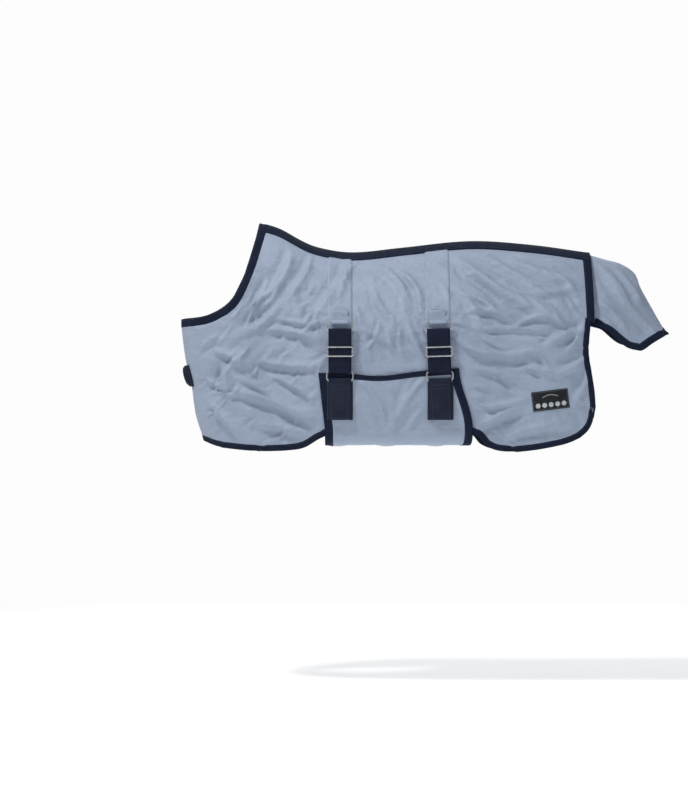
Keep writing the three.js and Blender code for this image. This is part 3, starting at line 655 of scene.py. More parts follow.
def s_at(c, z):
    """The s of a point, from its c and z."""
    share = np.maximum(crest(run_of(c, -NECK_DEPTH)) - z, 0) / CREST_DEPTH
    return np.where(share < 1, share ** (1 / CREST_POWER), 1 + (share - 1) / CREST_POWER)


def hem_line(first, last, side):
    """The hem from x first to x last as (c, s)."""
    x = np.linspace(first, last, 400)
    return params(side, x, hem_at(x))


def params(side, x, z):
    """(c, s) of side-view places."""
    x, z = np.asarray(x, float), np.asarray(z, float)
    c = turn_of(x, z)
    if side < 0:
        for _ in range(6):
            c = turn_of(x + CHEST_LIFT * (1 - smooth(c, 0.06, 0.5)), z)
    return np.stack([c, s_at(c, z)], -1)


def front_turn(side):
    """The c of a chest flap's free edge."""
    return -math.asin(CHEST_OVERLAP / SHOULDER_HALF) if side < 0 else 0.0


def round_chest(side, height_at):
    """A line round the front of the chest to where its columns run straight, as (c, s)."""
    inset = 0.01 if side < 0 else 0.02
    c = np.linspace(front_turn(side) + inset, QUARTER, 90)
    z = np.full(c.shape, -0.3)
    for _ in range(30):
        z = 0.5 * z + 0.5 * height_at(nominal(side, c, s_at(c, z))[:, 0])
    return np.stack([c, s_at(c, z)], -1)


# Stitch lines, gathered under a key for each group of pieces
stitch_lines = {}


def stitched(key, *lines):
    stitch_lines.setdefault(key, []).extend(lines)


def over_hinge(piece, name):
    """Bakes a piece's placement into its mesh."""
    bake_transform(piece)


for name, side, surface in (("near", -1, near), ("off", 1, off)):
    points, uv = side_grid(side, surface)
    cloth = cloth_sheet(name + "_cloth", points, (0, side, 0), uv, mesh_cloth)

    withers = neckline[(neckline[:, 0] > -0.044) & (neckline[:, 0] < 0.001)]
    neck = np.vstack([params(side, withers[:, 0], withers[:, 1]), round_chest(side, neck_at)[::-1]])
    neck[:, 1] = np.maximum(neck[:, 1], 0.012)
    neck_tape, neck_seam = binding(name + "_neck_tape", surface, neck[::side], NECK_TAPE, navy_binding)

    chest_hem = round_chest(side, hem_at)
    join = run_of(*chest_hem[-1:, 0], hem_at(0.0)) + 0.004
    hem = np.vstack([chest_hem, hem_line(float(join), BACK - 0.03, side)])
    hem_tape, hem_seam = binding(name + "_hem_tape", surface, hem[:: -side], HEM_TAPE, navy_binding)
    for piece in (cloth, neck_tape, hem_tape):
        over_hinge(piece, name)
    stitched(name + "_front", neck_seam, hem_seam)

    rear_part = hemline[(hemline[:, 0] > BACK - 0.034)]
    rear = params(side, rear_part[:, 0], rear_part[:, 1])
    rear_tape, rear_seam = binding(name + "_rear_tape", surface, rear[:: -side], HEM_TAPE, navy_binding)
    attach(rear_tape, "rug")

    z = np.linspace(-0.231, -0.067 - 0.0005, 60)
    seam_edge = params(side, np.full(z.shape, BACK), z)
    seam_tape, seam_seam = binding(name + "_seam_tape", surface, seam_edge[:: -side], SEAM_TAPE, navy_binding)
    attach(seam_tape, "rug")
    stitched("rug", rear_seam, seam_seam)

    z = np.linspace(-0.2415, -0.487, 60)
    front = np.full(z.shape, front_turn(side))
    flap_edge = np.stack([front, s_at(front, z)], -1)
    edge_tape, edge_seam = binding(name + "_edge_tape", surface, flap_edge[:: -side], 0.017, navy_binding)
    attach(edge_tape, name + "_chest")
    stitched(name + "_chest", edge_seam)

    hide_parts(name + "_side", name + "_chest_flap")
    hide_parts(name + "_neck_binding", name + "_chest_neck_binding")
    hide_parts(name + "_hem_binding", name + "_chest_hem_binding")
    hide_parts(name + "_rear_binding")
    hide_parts(name + "_tail_seam_band")
    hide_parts(name + "_chest_edge_binding")


# ---------------------------------------------------------------- bands, strips and the label


def slab(name, surface, a, b, low, high, material, edge=0.0006):
    """A closed flat piece over a grid of (a, b) places on a surface, between two heights, with softened edges."""
    top = surface(a, b, high)
    ring = [surface(a[:, 0], b[:, 0], (low + high) / 2)]
    last = a.shape[1] - 1
    ring += [surface(a[:, k], b[:, k], high - (edge if k in (0, last) else 0)) for k in range(last + 1)]
    ring += [surface(a[:, last], b[:, last], (low + high) / 2)]
    ring += [surface(a[:, k], b[:, k], low) for k in range(last, -1, -1)]
    sections = np.stack(ring, 1)
    wide = lengths(top, 1).mean(0)
    share = np.concatenate([[0], wide, [wide[-1]], wide[::-1]])
    run = lengths(top, 0)[:, last // 2]
    uv = np.stack(np.broadcast_arrays(run[:, None], share[None, :]), -1)
    return section_sweep(name, sections, uv, material)


def seam_along(surface, a, b, high, inset=1):
    """Stitch lines just inside both long edges of a slab."""
    return [surface(a[:, k], b[:, k], high + 0.0001) for k in (inset, a.shape[1] - 1 - inset)]


def ridge(c, s, h=0.0):
    """The surface over the spine: s is negative on the near side."""
    s = np.asarray(s, float)
    e = 1e-3

    def place(c, s):
        p = nominal(1, c, np.abs(s))
        return np.stack([p[..., 0], p[..., 1] * np.sign(s), p[..., 2]], -1)

    out = unit(np.cross(place(c + e, s) - place(c - e, s), place(c, s + e) - place(c, s - e)))
    out *= np.where(out[..., 2:] < 0, -1, 1)
    return place(c, s) + out * h


SPINE_REACH = (0.020 / CREST_DEPTH) ** (1 / CREST_POWER)
x, s = np.meshgrid(np.linspace(-0.003, BACK, 170), np.linspace(-SPINE_REACH, SPINE_REACH, 15), indexing="ij")
c = turn_of(x, np.full(x.shape, -0.1))
spine_tape = slab("spine_tape", ridge, c, s, 0.0008, 0.0040, navy_binding, 0.0009)
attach(spine_tape, "rug")
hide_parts("spine_band")
stitched("rug", *seam_along(ridge, c, s, 0.0040))


def at_near(x, z):
    """(c, s) grids for side-view places on the near side."""
    found = params(-1, x, z)
    return found[..., 0], found[..., 1]


for name, middle in (("front", 0.1735), ("rear", 0.401)):
    z, x = np.meshgrid(np.linspace(0, 1, 60), middle + np.linspace(-0.029, 0.029, 12), indexing="ij")
    z = lerp(crest(x) - 0.017, -0.242, z)
    c, s = at_near(x, z)
    strip = slab(name + "_strip", near, c, s, CLOTH - 0.0004, CLOTH + 0.0011, mesh_cloth)
    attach(strip, "rug")
    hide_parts(name + "_reinforcement_strip")
    stitched("strips", *seam_along(near, c, s, CLOTH + 0.0011), near(c[-3], s[-3], CLOTH + 0.0012))

LABEL_MIDDLE, LABEL_TURN = (0.662, -0.413), math.radians(7)


def on_label(right, up):
    x = LABEL_MIDDLE[0] + right * math.cos(LABEL_TURN) - up * math.sin(LABEL_TURN)
    z = LABEL_MIDDLE[1] + right * math.sin(LABEL_TURN) + up * math.cos(LABEL_TURN)
    return at_near(x, z)


def print_finish():
    f = Finish("label_print", 0.6)
    f.colour(f.noise(0.004, 2.0), [(0.3, (0.33, 0.36, 0.38)), (0.7, (0.48, 0.51, 0.53))])
    return f.done()


label_cloth = woven_tape_finish("label", (0.012, 0.013, 0.016), (0.028, 0.030, 0.036), 0.0011, 0.6)
up, right = np.meshgrid(np.linspace(0.0225, -0.0225, 14), np.linspace(-0.0425, 0.0425, 22), indexing="ij")
label = slab("label_patch", near, *on_label(right, up), CLOTH - 0.0004, CLOTH + 0.0014, label_cloth)
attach(label, "rug")
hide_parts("label")


def print_shape(outline):
    """A flat printed shape on the label, as its points on the rug."""
    right, up = np.array(outline).T
    return near(*on_label(right, up), CLOTH + 0.00155)


shapes = []
for k, sides in enumerate((6, 5, 8, 5, 6)):
    middle = -0.030 + 0.015 * k
    turn = np.arange(sides * 3) / (sides * 3) * 2 * math.pi
    reach = 0.0056 * (1 - 0.12 * np.cos(sides * turn))
    shapes.append(list(zip(middle + reach * np.sin(turn), -0.0105 + reach * np.cos(turn))))
shapes.append([(-0.036, -0.0012), (0.036, -0.0012), (0.036, 0.0001), (-0.036, 0.0001)])
arc = np.linspace(0, 1, 12)
hill = 0.008 + 0.005 * np.sin(math.pi * arc)
shapes.append([*zip(-0.018 + 0.036 * arc, hill), *zip((-0.018 + 0.036 * arc)[::-1], hill[::-1] - 0.0012)])
points, faces = [], []
for shape in shapes:
    faces.append(list(range(len(points), len(points) + len(shape))))
    points.extend(print_shape(shape))
printing = mesh_object("label_print", points, faces, material=print_finish())
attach(printing, "rug")
border = [(-0.040, -0.020), (0.040, -0.020), (0.040, 0.020), (-0.040, 0.020), (-0.040, -0.020)]
line = np.vstack([np.linspace(a, b, 12) for a, b in zip(border, border[1:])])
stitched("strips", near(*on_label(line[:, 0], line[:, 1]), CLOTH + 0.0015))


# ---------------------------------------------------------------- chest closure

CHEST_STRAP_Z, STRAP_NEAR, STRAP_OFF = -0.356, 0.029, 0.072


def chest_place(y, z, forward, lift):
    angle = np.arcsin(y / SHOULDER_HALF)
    x = chest_front(z) + CHEST_ROUND * (1 - np.cos(angle)) - forward
    across = half_width(x) * np.sin(angle) * tucked(z)
    return np.stack([x - lift * np.cos(angle), across + lift * np.sin(angle), z + 0 * x], -1)


def chest_band(y, v, h=0.0):
    """The chest strap's inner face: y runs across, v down."""
    y, v = np.broadcast_arrays(np.asarray(y, float), np.asarray(v, float))
    z = CHEST_STRAP_Z + (0.5 - v) * 0.050
    on_patch = smooth(y, CHEST_OVERLAP + 0.002, CHEST_OVERLAP + 0.024)
    angle = -np.arcsin(y / SHOULDER_HALF)
    forward = CHEST_LIFT * (1 - smooth(angle, 0.06, 0.5)) * (1 - on_patch)
    over_edge = CLOTH + 0.0011 + 0.00075 * smooth(y, -0.015, 0.010)
    lift = lerp(over_edge, CLOTH + 0.0035, on_patch)
    u = np.clip((y + STRAP_NEAR) / (STRAP_NEAR + STRAP_OFF), 0, 1)
    bulge = 0.014 * np.sin(math.pi * u) ** 1.5 * (0.25 + 0.75 * np.sqrt(np.clip(1 - (2 * v - 1) ** 2, 0, 1)))
    return chest_place(y, z, forward, lift + bulge + h)


def chest_patch(y, v, h=0.0):
    y, v = np.broadcast_arrays(np.asarray(y, float), np.asarray(v, float))
    return chest_place(y, CHEST_STRAP_Z + (0.5 - v) * 0.050, 0, CLOTH + 0.0009 + h)


def grip_finish(name, dark, light, pitch):
    """Hook or loop tape: a dense pile of tiny bristles."""
    f = Finish(name, 0.9, sheen=0.15, specular=0.15)
    pile = f.noise(pitch, 3.0)
    f.colour(pile, [(0.35, dark), (0.65, light)])
    f.raised(pile, 0.0009, 0.9)
    return f.done()


loop_tape = grip_finish("loop_tape", (0.007, 0.009, 0.020), (0.020, 0.025, 0.048), 0.0011)
hook_tape = woven_tape_finish("hook_tape", (0.011, 0.014, 0.028), (0.022, 0.027, 0.050), 0.0026, 0.85)
y, v = np.meshgrid(np.linspace(-STRAP_NEAR, STRAP_OFF, 48), np.linspace(0, 1, 9), indexing="ij")
chest_strap = slab("chest_strap_webbing", chest_band, y, v, 0.0, 0.0015, navy_webbing)
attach(chest_strap, "chest_strap")
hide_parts("chest_strap")
stitched("chest_strap", *seam_along(chest_band, y, v, 0.0015), chest_band(y[2], v[2], 0.0016))
y, v = np.meshgrid(np.linspace(CHEST_OVERLAP + 0.004, STRAP_OFF, 18), np.linspace(0, 1, 9), indexing="ij")
patch = slab("chest_loop_tape", chest_patch, y, v, 0.0, 0.0018, loop_tape)
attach(patch, "off_chest")
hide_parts("chest_loop_patch")


# ---------------------------------------------------------------- belly flap

BELLY_LEAN, BELLY_NARROWS, BELLY_HEIGHT = 0.015, 0.035, 0.166
BELLY_LIFT, BELLY_CORNER, BELLY_TAPE, BELLY_TOP_TAPE = 0.0046, 0.035, 0.019, 0.013
BELLY_BOTTOM = -DROP + 0.015
BELLY_TOP = BELLY_BOTTOM + BELLY_HEIGHT
CORNER_SHARE, NEAR_SHARE = 0.12, 0.34
BELLY_FOLDS = [
    (215, -360, 285, -470, 8, 10, 3.4), (380, -352, 300, -468, -8, 10, 3.4), (225, -420, 270, -505, 5, 9, 2.6),
    (372, -425, 320, -508, -5, 9, 2.6), (262, -366, 300, -410, 5, 8, 2.4), (345, -360, 318, -420, -4, 8, 2.2),
    (160, -480, 250, -500, 4, 9, 2.2), (340, -490, 440, -478, 4, 9, 2.4), (290, -420, 296, -512, 3, 10, 3.0),
]
top_line = through([(0.124, 0.0), (0.20, -0.003), (0.27, -0.007), (0.36, 0.004), (0.450, 0.011)])


def side_at(x, z):
    """Distance of the bare surface from the middle plane."""
    return half_width(x) * over_crest(x, z) * rounded((x - chest_front(z)) / CHEST_ROUND, 2) * tucked(z)


def belly_place(x, s):
    x, s = np.broadcast_arrays(np.asarray(x, float), np.asarray(s, float))
    middle = BELLY_BOTTOM + BELLY_CORNER
    inner = side_at(x, np.full(x.shape, middle)) + BELLY_LIFT - BELLY_CORNER
    under_from, under_to = NEAR_SHARE + CORNER_SHARE, 1 - CORNER_SHARE
    z = lerp(BELLY_TOP + top_line(x), middle, np.clip(s / NEAR_SHARE, -0.2, 1))
    side = np.stack([x, -side_at(x, z) - BELLY_LIFT, z], -1)
    turn = np.clip((s - NEAR_SHARE) / CORNER_SHARE, 0, 1) * QUARTER
    bend = np.stack([x, -inner - BELLY_CORNER * np.cos(turn), middle - BELLY_CORNER * np.sin(turn)], -1)
    flat = np.clip((s - under_from) / (under_to - under_from), 0, 1)
    under = np.stack([x, lerp(-inner, inner, flat), np.full(x.shape, BELLY_BOTTOM)], -1)
    end = np.arcsin(np.clip((middle - hem_at(x) + 0.0006) / BELLY_CORNER, -1, 1))
    rise = lerp(QUARTER, end, np.clip((s - under_to) / CORNER_SHARE, 0, 1))
    far = np.stack([x, inner + BELLY_CORNER * np.cos(rise), middle - BELLY_CORNER * np.sin(rise)], -1)
    s = s[..., None]
    return np.where(s < NEAR_SHARE, side, np.where(s < under_from, bend, np.where(s < under_to, under, far)))


def belly(x, s, h=0.0):
    """Places on the belly flap, h outside its inner face: s runs from its top edge round to the off side."""
    e = 1e-3
    across = belly_place(x + e, s) - belly_place(x - e, s)
    down = belly_place(x, s + e) - belly_place(x, s - e)
    out = -unit(np.cross(across, down))
    place = belly_place(x, s)
    x, s = place[..., 0], np.broadcast_to(s, place.shape[:-1])
    z = np.where(s < NEAR_SHARE, place[..., 2], BELLY_BOTTOM - (s - NEAR_SHARE) * 0.4)
    fold = fold_height(BELLY_FOLDS, x, z) * smooth(s, 0.012, 0.05) * (1 - smooth(s, 0.4, 0.6))
    straps = sum(np.exp(-(((x - at) / 0.038) ** 4)) for at in (0.1735, 0.404))
    edges = smooth(x, BELLY_FRONT + 0.01, BELLY_FRONT + 0.05) * smooth(-x, -BELLY_REAR - 0.01, -BELLY_REAR + 0.03)
    fold = np.clip(fold, -0.0022, 0.006) * (1 - np.clip(straps, 0, 1)) * edges
    billow = 0.004 * np.sin(2 * math.pi * (x - 0.14) / 0.115) * smooth(s, 0.5, 0.6) * (1 - smooth(s, 0.88, 0.97))
    return place + out * np.asarray(h + fold + billow)[..., None]


def belly_front(s):
    return BELLY_FRONT + BELLY_LEAN * np.minimum(s / NEAR_SHARE, 1)


def belly_rear(s):
    return BELLY_REAR + BELLY_RAKE * smooth(s, 0, NEAR_SHARE) - BELLY_NARROWS * smooth(s, NEAR_SHARE + 0.02, 0.75)


def across_belly(first, last, columns, start=0.0, rows=110):
    """(x, s) grids between two edges of the flap."""
    s, share = np.meshgrid(np.linspace(start, 1, rows), np.linspace(0, 1, columns), indexing="ij")
    return lerp(first(s), last(s), share), s


x, s = across_belly(lambda s: belly_front(s) + 0.006, lambda s: belly_rear(s) - 0.006, 66, 0.006)
points = belly(x, s, CLOTH)
uv = np.stack([lengths(points, 1), lengths(points, 0)], -1)
belly_cloth = cloth_sheet("belly_cloth", points, (0, 0, -1), uv, mesh_cloth)
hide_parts("belly_flap")
front_x, front_s = across_belly(belly_front, lambda s: belly_front(s) + BELLY_TAPE, 8)
rear_x, rear_s = across_belly(lambda s: belly_rear(s) - BELLY_TAPE, belly_rear, 8)
top_share = NEAR_SHARE * BELLY_TOP_TAPE / (BELLY_HEIGHT - BELLY_CORNER)
share, top_s = np.meshgrid(np.linspace(0, 1, 70), np.linspace(0, top_share, 7), indexing="ij")
top_x = lerp(belly_front(top_s) + 0.004, belly_rear(top_s) - 0.004, share)
belly_tapes = [
    slab("belly_front_tape", belly, front_x, front_s, TAPE_INNER, TAPE_OUTER, navy_binding),
    slab("belly_rear_tape", belly, rear_x, rear_s, TAPE_INNER, TAPE_OUTER, navy_binding),
    slab("belly_top_tape", belly, top_x, top_s, TAPE_INNER + 0.0002, TAPE_OUTER - 0.0003, navy_binding),
]
for piece, part in zip(belly_tapes, ("front", "rear", "top")):
    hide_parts(f"belly_flap_{part}_binding")
for piece in (belly_cloth, *belly_tapes):
    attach(piece, "belly")
stitched("belly", belly(front_x[:, -2], front_s[:, -2], TAPE_OUTER + 0.0001))
stitched("belly", belly(rear_x[:, 1], rear_s[:, 1], TAPE_OUTER + 0.0001))
stitched("belly", belly(top_x[:, -2], top_s[:, -2], TAPE_OUTER))


# ---------------------------------------------------------------- straps

STRAP_PLANE, STRAP_TOP, WEBBING_WIDTH, WEBBING_WALL = -0.16295, -0.233, 0.054, 0.0015
LOOP, RING_HEIGHT, LOWER_RING, TAB_LENGTH = 0.0021, 0.018, 0.1153, 0.092
PATCH_OUTER = BELLY_LIFT + 0.00325 + 0.0006 + 0.002


def strap_piece(name, path, width, wall, place, material, closed=False):
    """Webbing that follows a path of (y, z) points in its own upright plane, lean and all."""
    path = np.array(path)
    if closed:
        along = np.roll(path, -1, 0) - np.roll(path, 1, 0)
    else:
        along = np.gradient(path, axis=0)
    out = unit(np.stack([-along[:, 1], along[:, 0]], -1))
    half, x0, lean = width / 2, place[0], place[1]
    columns = np.linspace(-half, half, 9)
    ring = [(x, wall / 2 - (0.0004 if abs(x) > half - 1e-6 else 0)) for x in columns]
    ring += [(x, -wall / 2 + (0.0004 if abs(x) > half - 1e-6 else 0)) for x in columns[::-1]]
    rows = []
    for x, t in ring:
        y, z = (path + out * t).T
        across = x0 + x * math.cos(lean) - z * math.sin(lean)
        up = STRAP_TOP + x * math.sin(lean) + z * math.cos(lean)
        rows.append(np.stack([across, STRAP_PLANE + y, up], -1))
    sections = np.stack(rows, 1)
    run = lengths(sections, 0)[:, 0]
    uv = np.stack(np.broadcast_arrays(run[:, None], np.array([x for x, _ in ring])[None, :]), -1)
    if not closed:
        return section_sweep(name, sections, uv, material), sections
    faces = grid_faces(len(path) + 1, len(ring), around=True)
    faces = (np.array(faces) % (len(path) * len(ring))).tolist()
    return face_out(mesh_object(name, sections.reshape(-1, 3), faces, uv.reshape(-1, 2), material)), sections


def half_round(y, z, radius, first, last, count=12):
    turn = np.linspace(first, last, count)
    return np.stack([y + radius * np.sin(turn), z + radius * np.cos(turn)], -1)


def wire_finish():
    """Plated wire with fine scuffs."""
    f = Finish("silver_wire", 0.26, metallic=1.0)
    scuffs = f.noise(0.006, 4.0)
    f.colour(scuffs, [(0.3, (0.56, 0.57, 0.58)), (0.7, (0.76, 0.77, 0.78))])
    f.raised(f.noise(0.0016, 2.0), 0.0001, 0.5)
    return f.done()


silver_wire = wire_finish()
for name, x0, lean in (("front", 0.1735, 0.0), ("rear", 0.401, math.radians(1.8))):
    place = (x0, lean)
    body = name + "_strap"
    for part in ("_top_ring", "_lower_ring", "_slide"):
        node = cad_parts[name + part]
        obj = bpy.data.objects.get(node) if isinstance(node, str) else node
        obj.data.materials.clear()
        obj.data.materials.append(silver_wire)

    radius = LOOP + 0.0008
    down = np.linspace(-RING_HEIGHT, -LOWER_RING, 44)
    ripple = 0.00035 * np.sin((down + RING_HEIGHT) / 0.016)
    front_run = np.stack([-radius + ripple, down], -1)
    back_run = np.stack([radius + ripple, down], -1)[::-1]
    path = np.vstack([
        half_round(0, -RING_HEIGHT, radius, QUARTER, -QUARTER)[1:-1],
        front_run,
        half_round(0, -LOWER_RING, radius, -QUARTER, -3 * QUARTER)[1:-1],
        back_run,
    ])
    wide = WEBBING_WIDTH - 0.0006
    webbing, _ = strap_piece(name + "_webbing", path, wide, WEBBING_WALL, place, navy_webbing, closed=True)
    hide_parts(name + "_strap_webbing")

    top = -LOWER_RING - RING_HEIGHT
    low = top - TAB_LENGTH
    down = np.linspace(top - 0.007, low, 34)
    wave = 0.0003 * np.sin((down - top) / 0.011)
    path = np.vstack([
        np.stack([0.00075 + wave, down], -1)[::-1],
        half_round(0, top, radius, QUARTER + 0.35, -QUARTER - 0.35, 16),
        np.stack([-0.00075 + wave, down], -1),
    ])
    tab, sections = strap_piece(name + "_tab", path, wide, WEBBING_WALL, place, hook_tape)
    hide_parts(name + "_fastening_tab")
    face = sections[-34:, :9] if sections[-10, 0, 1] < sections[-10, 12, 1] else sections[-34:, 9:][:, ::-1]
    lift = np.array([0, -0.0002, 0])
    seams = (face[:, 1], face[:, 7], face[2, 1:8], face[32, 1:8], face[5, 1:8])
    stitched(body, *(seam + lift for seam in seams))

    wall_y = side_at(np.array([x0]), np.array([-0.212]))[0]
    root = -wall_y - 0.0052 - STRAP_PLANE
    path = np.vstack([
        np.stack([np.full(6, root), np.linspace(0.029, 0.008, 6)], -1),
        [[root - 0.002, 0.0045]],
        half_round(0, 0, radius, 0.5, -math.pi - 0.35, 16),
        [[root - 0.003, -0.0044], [root - 0.0006, -0.0046]],
    ])
    anchor, sections = strap_piece(name + "_anchor", path, WEBBING_WIDTH - 0.014, 0.0016, place, mesh_cloth)
    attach(anchor, "rug")
    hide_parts(name + "_strap_anchor")

    wide = np.linspace(-0.030, 0.030, 9)
    v, x = np.meshgrid(np.linspace(0, 1, 30), wide, indexing="ij")
    patch_top = STRAP_TOP + top - 0.0047
    z = patch_top - v * (TAB_LENGTH - 0.0037)
    x = x0 + math.sin(lean) * (-top + TAB_LENGTH / 2) + x

    def on_flap(x, z, h=0.0):
        return np.stack([x, -side_at(x, z) - PATCH_OUTER - h, z], -1)

    patch = slab(name + "_loop_tape", on_flap, x, z, -0.0019, 0.0, loop_tape)
    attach(patch, "belly")
    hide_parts(name + "_loop_patch")
    stitched("belly", *seam_along(on_flap, x, z, 0.0))
    for piece in (webbing, tab):
        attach(piece, body)


# ---------------------------------------------------------------- tail flap

TAIL_LENGTH, TAIL_TAPE, TAIL_TOP = 0.181, 0.016, -0.0706
TAIL_START = BACK - 0.0005
TAIL_SHAPE = [
    (0, 0, 165), (0.21, 11, 184), (0.42, 22, 217), (0.6, 46, 226),
    (0.65, 72, 225), (0.79, 119, 208), (0.97, 178, 190), (1, 184, 189),
]
tail_ridge = through([(share, TAIL_TOP - top / 1000) for share, top, _ in TAIL_SHAPE])
tail_edge = through([(share, TAIL_TOP - edge / 1000) for share, _, edge in TAIL_SHAPE])
TAIL_FOLDS = [
    (775, -90, 850, -190, 8, 12, 5), (790, -120, 900, -240, -6, 10, 4), (772, -180, 850, -260, 7, 11, 5),
    (820, -100, 890, -200, 5, 9, 3.5), (780, -215, 840, -275, 4, 9, 3.5), (870, -230, 920, -262, 4, 8, 3),
]


def tail_place(u, across):
    u, across = np.broadcast_arrays(np.asarray(u, float), np.asarray(across, float))
    raised = 0.014 * smooth(across, 0.1, 0.8) * smooth(u, -0.1, 0.25) * (1 - smooth(u, 0.6, 0.95))
    z = lerp(tail_ridge(u), tail_edge(u) + raised, across**2)
    half = lerp(REAR_HALF * 0.9, 0.066, smooth(u, 0.1, 1))
    power = lerp(CREST_POWER, 2, u)
    curve = (1 - (1 - np.clip(0.85 * across**2, 0, 1)) ** power) ** (1 / power)
    return np.stack([TAIL_START + u * TAIL_LENGTH, np.sign(across) * half * curve, z], -1)


def tail(u, across, h=0.0):
    e = 1e-3
    du = tail_place(u + e, across) - tail_place(u - e, across)
    dv = tail_place(u, across + e) - tail_place(u, across - e)
    place = tail_place(u, across)
    out = unit(np.cross(du, dv))
    facing = place * (0, 1, 0) + (0, 0, 0.05)
    out *= np.where((out * facing).sum(-1, keepdims=True) < 0, -1, 1)
    u = np.broadcast_to(u, place.shape[:-1])
    fold = fold_height(TAIL_FOLDS, place[..., 0], place[..., 2])
    fold *= smooth(np.abs(across), 0.1, 0.4) * smooth(u, 0.02, 0.15)
    return place + out * np.asarray(h + np.clip(fold, -0.004, 0.005))[..., None]


u, across = np.meshgrid(np.linspace(0, 1, 44), np.linspace(-1, 1, 92), indexing="ij")
points = tail(u * 0.99, across * 0.99, CLOTH)
uv = np.stack([lengths(points, 1), lengths(points, 0)], -1)
tail_cloth = cloth_sheet("tail_cloth", points, (0, 0, 1), uv, mesh_cloth)
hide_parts("tail_flap")
run = np.linspace(0.0, 1, 80)
edges = {
    "near": np.stack([run, np.full(80, -1.0)], -1),
    "off": np.stack([run[::-1], np.full(80, 1.0)], -1),
    "end": np.stack([np.full(80, 1.0), np.linspace(-1, 1, 80)], -1),
}
tail_tapes = []
for name, ab in edges.items():
    tape, seam = binding(f"tail_{name}_tape", tail, ab, TAIL_TAPE, navy_binding)
    tail_tapes.append(tape)
    stitched("tail", seam)
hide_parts("tail_flap_binding")
for piece in (tail_cloth, *tail_tapes):
    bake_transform(piece)


# ---------------------------------------------------------------- stitches


def stitch_tree(material):
    """Geometry nodes that lay stitches of thread end to end along lines."""
    tree = bpy.data.node_groups.new("stitches", "GeometryNodeTree")
    face = tree.interface
    face.new_socket("Geometry", in_out="INPUT", socket_type="NodeSocketGeometry")
    for name, value in (("Pitch", 0.0055), ("Stitch length", 0.0040), ("Thread", 0.0006)):
        face.new_socket(name, in_out="INPUT", socket_type="NodeSocketFloat").default_value = value
    face.new_socket("Geometry", in_out="OUTPUT", socket_type="NodeSocketGeometry")

    def node(kind, **settings):
        made = tree.nodes.new(kind)
        for key, value in settings.items():
            setattr(made, key, value)
        return made

    def link(a, b):
        tree.links.new(a, b)

    given, result = node("NodeGroupInput"), node("NodeGroupOutput")
    line = node("GeometryNodeMeshToCurve")
    even = node("GeometryNodeResampleCurve", mode="LENGTH")
    tangent = node("GeometryNodeInputTangent")
    turned = node("FunctionNodeAlignRotationToVector", axis="X")
    thread = node("GeometryNodeMeshUVSphere")
    size = node("ShaderNodeCombineXYZ")
    laid = node("GeometryNodeInstanceOnPoints")
    real = node("GeometryNodeRealizeInstances")
    finish = node("GeometryNodeSetMaterial")
    thread.inputs["Segments"].default_value, thread.inputs["Rings"].default_value = 5, 4
    thread.inputs["Radius"].default_value = 0.5
    finish.inputs["Material"].default_value = material
    link(given.outputs["Geometry"], line.inputs["Mesh"])
    link(line.outputs["Curve"], even.inputs["Curve"])
    link(given.outputs["Pitch"], even.inputs["Length"])
    link(even.outputs["Curve"], laid.inputs["Points"])
    link(thread.outputs["Mesh"], laid.inputs["Instance"])
    link(tangent.outputs[0], turned.inputs["Vector"])
    link(turned.outputs["Rotation"], laid.inputs["Rotation"])
    link(given.outputs["Stitch length"], size.inputs[0])
    link(given.outputs["Thread"], size.inputs[1])
    link(given.outputs["Thread"], size.inputs[2])
    link(size.outputs[0], laid.inputs["Scale"])
    link(laid.outputs["Instances"], real.inputs["Geometry"])
    link(real.outputs["Geometry"], finish.inputs["Geometry"])
    link(finish.outputs["Geometry"], result.inputs["Geometry"])
    return tree


def thread_finish(name, dark, light):
    f = Finish(name, 0.55, sheen=0.3)
    f.colour(f.noise(0.002, 2.0), [(0.3, dark), (0.7, light)])
    return f.done()


navy_thread = thread_finish("navy_thread", (0.020, 0.027, 0.058), (0.040, 0.050, 0.095))
pale_thread = thread_finish("pale_thread", (0.20, 0.26, 0.37), (0.33, 0.40, 0.52))
trees = {"strips": stitch_tree(pale_thread)}
trees["other"] = stitch_tree(navy_thread)
for key, lines in stitch_lines.items():
    points = np.vstack(lines)
    starts = np.cumsum([0] + [len(line) for line in lines])
    edges = [(k, k + 1) for a, b in zip(starts, starts[1:]) for k in range(a, b - 1)]
    mesh = bpy.data.meshes.new(key + "_lines")
    mesh.from_pydata([tuple(p) for p in points], edges, [])
    guide = bpy.data.objects.new(key + "_lines", mesh)
    bpy.context.scene.collection.objects.link(guide)
    sewing = guide.modifiers.new("stitches", "NODES")
    sewing.node_group = trees.get(key, trees["other"])
    bpy.context.view_layer.update()
    laid = bpy.data.meshes.new_from_object(guide.evaluated_get(bpy.context.evaluated_depsgraph_get()))
    bpy.data.objects.remove(guide)
    laid.polygons.foreach_set("use_smooth", [True] * len(laid.polygons))
    stitches = bpy.data.objects.new(key + "_stitches", laid)
    bpy.context.scene.collection.objects.link(stitches)
    if key.endswith("_front"):
        over_hinge(stitches, key.split("_")[0])
    elif key == "tail":
        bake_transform(stitches)
    else:
        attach(stitches, "rug" if key == "strips" else key)


# ---------------------------------------------------------------- floor, lights and camera

NEAR_FACE, FLOOR = -0.15, -1.09


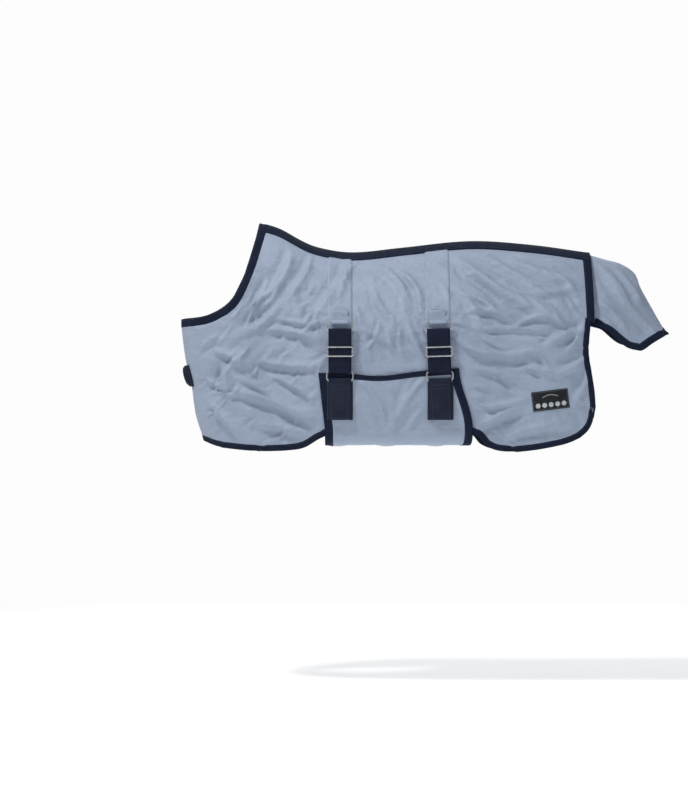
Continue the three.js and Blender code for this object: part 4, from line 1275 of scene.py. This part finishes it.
def soft_light(name, place, size, power, towards, tint=(1, 1, 1)):
    lamp = bpy.data.lights.new(name, "AREA")
    lamp.shape, lamp.size, lamp.energy, lamp.color = "SQUARE", size, power, tint
    obj = bpy.data.objects.new(name, lamp)
    obj.location = place
    obj.rotation_euler = (Vector(towards) - Vector(place)).to_track_quat("-Z", "Y").to_euler()
    obj.visible_camera = False
    bpy.context.scene.collection.objects.link(obj)


floor_finish = Finish("pale_floor", 0.9, specular=0.2)
floor_finish.colour(floor_finish.noise(0.8, 2.0), [(0.3, (0.86, 0.86, 0.865)), (0.7, (0.90, 0.90, 0.90))])
floor_finish.shader.inputs["Emission Color"].default_value = (1, 1, 1, 1)
floor_finish.shader.inputs["Emission Strength"].default_value = 0.42
corners = [(-9, -9, FLOOR), (9, -9, FLOOR), (9, 2.4, FLOOR), (-9, 2.4, FLOOR)]
floor = mesh_object("floor", corners, [(0, 1, 2, 3)], material=floor_finish.done())
floor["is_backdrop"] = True

world = bpy.data.worlds.new("studio")
world.use_nodes = True
studio = world.node_tree
sky = studio.nodes["Background"]
sky.inputs["Color"].default_value = (0.95, 0.97, 1.0, 1)
sky.inputs["Strength"].default_value = 0.36
backdrop = studio.nodes.new("ShaderNodeBackground")
backdrop.inputs["Color"].default_value = (1, 1, 1, 1)
backdrop.inputs["Strength"].default_value = 0.98
seen, either = studio.nodes.new("ShaderNodeLightPath"), studio.nodes.new("ShaderNodeMixShader")
studio.links.new(seen.outputs["Is Camera Ray"], either.inputs[0])
studio.links.new(sky.outputs[0], either.inputs[1])
studio.links.new(backdrop.outputs[0], either.inputs[2])
studio.links.new(either.outputs[0], studio.nodes["World Output"].inputs["Surface"])
bpy.context.scene.world = world
bpy.context.scene.view_settings.view_transform = "Standard"
aim = (0.3, 0, -0.35)
soft_light("key", (-1.0, -1.25, 2.2), 0.45, 72, aim, (1, 0.985, 0.96))
soft_light("fill", (2.6, -2.4, 0.3), 2.2, 11, aim)
soft_light("back", (0.9, 2.6, 1.8), 1.6, 22, aim)

camera = bpy.data.cameras.new("camera")
camera.lens, camera.sensor_fit, camera.sensor_width = 116.4, "AUTO", 36
eye = bpy.data.objects.new("camera", camera)
eye.location = (0.183, NEAR_FACE - 6.0, -0.413)
eye.rotation_euler = (math.pi / 2, 0, 0)
bpy.context.scene.collection.objects.link(eye)
bpy.context.scene.camera = eye

low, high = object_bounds()
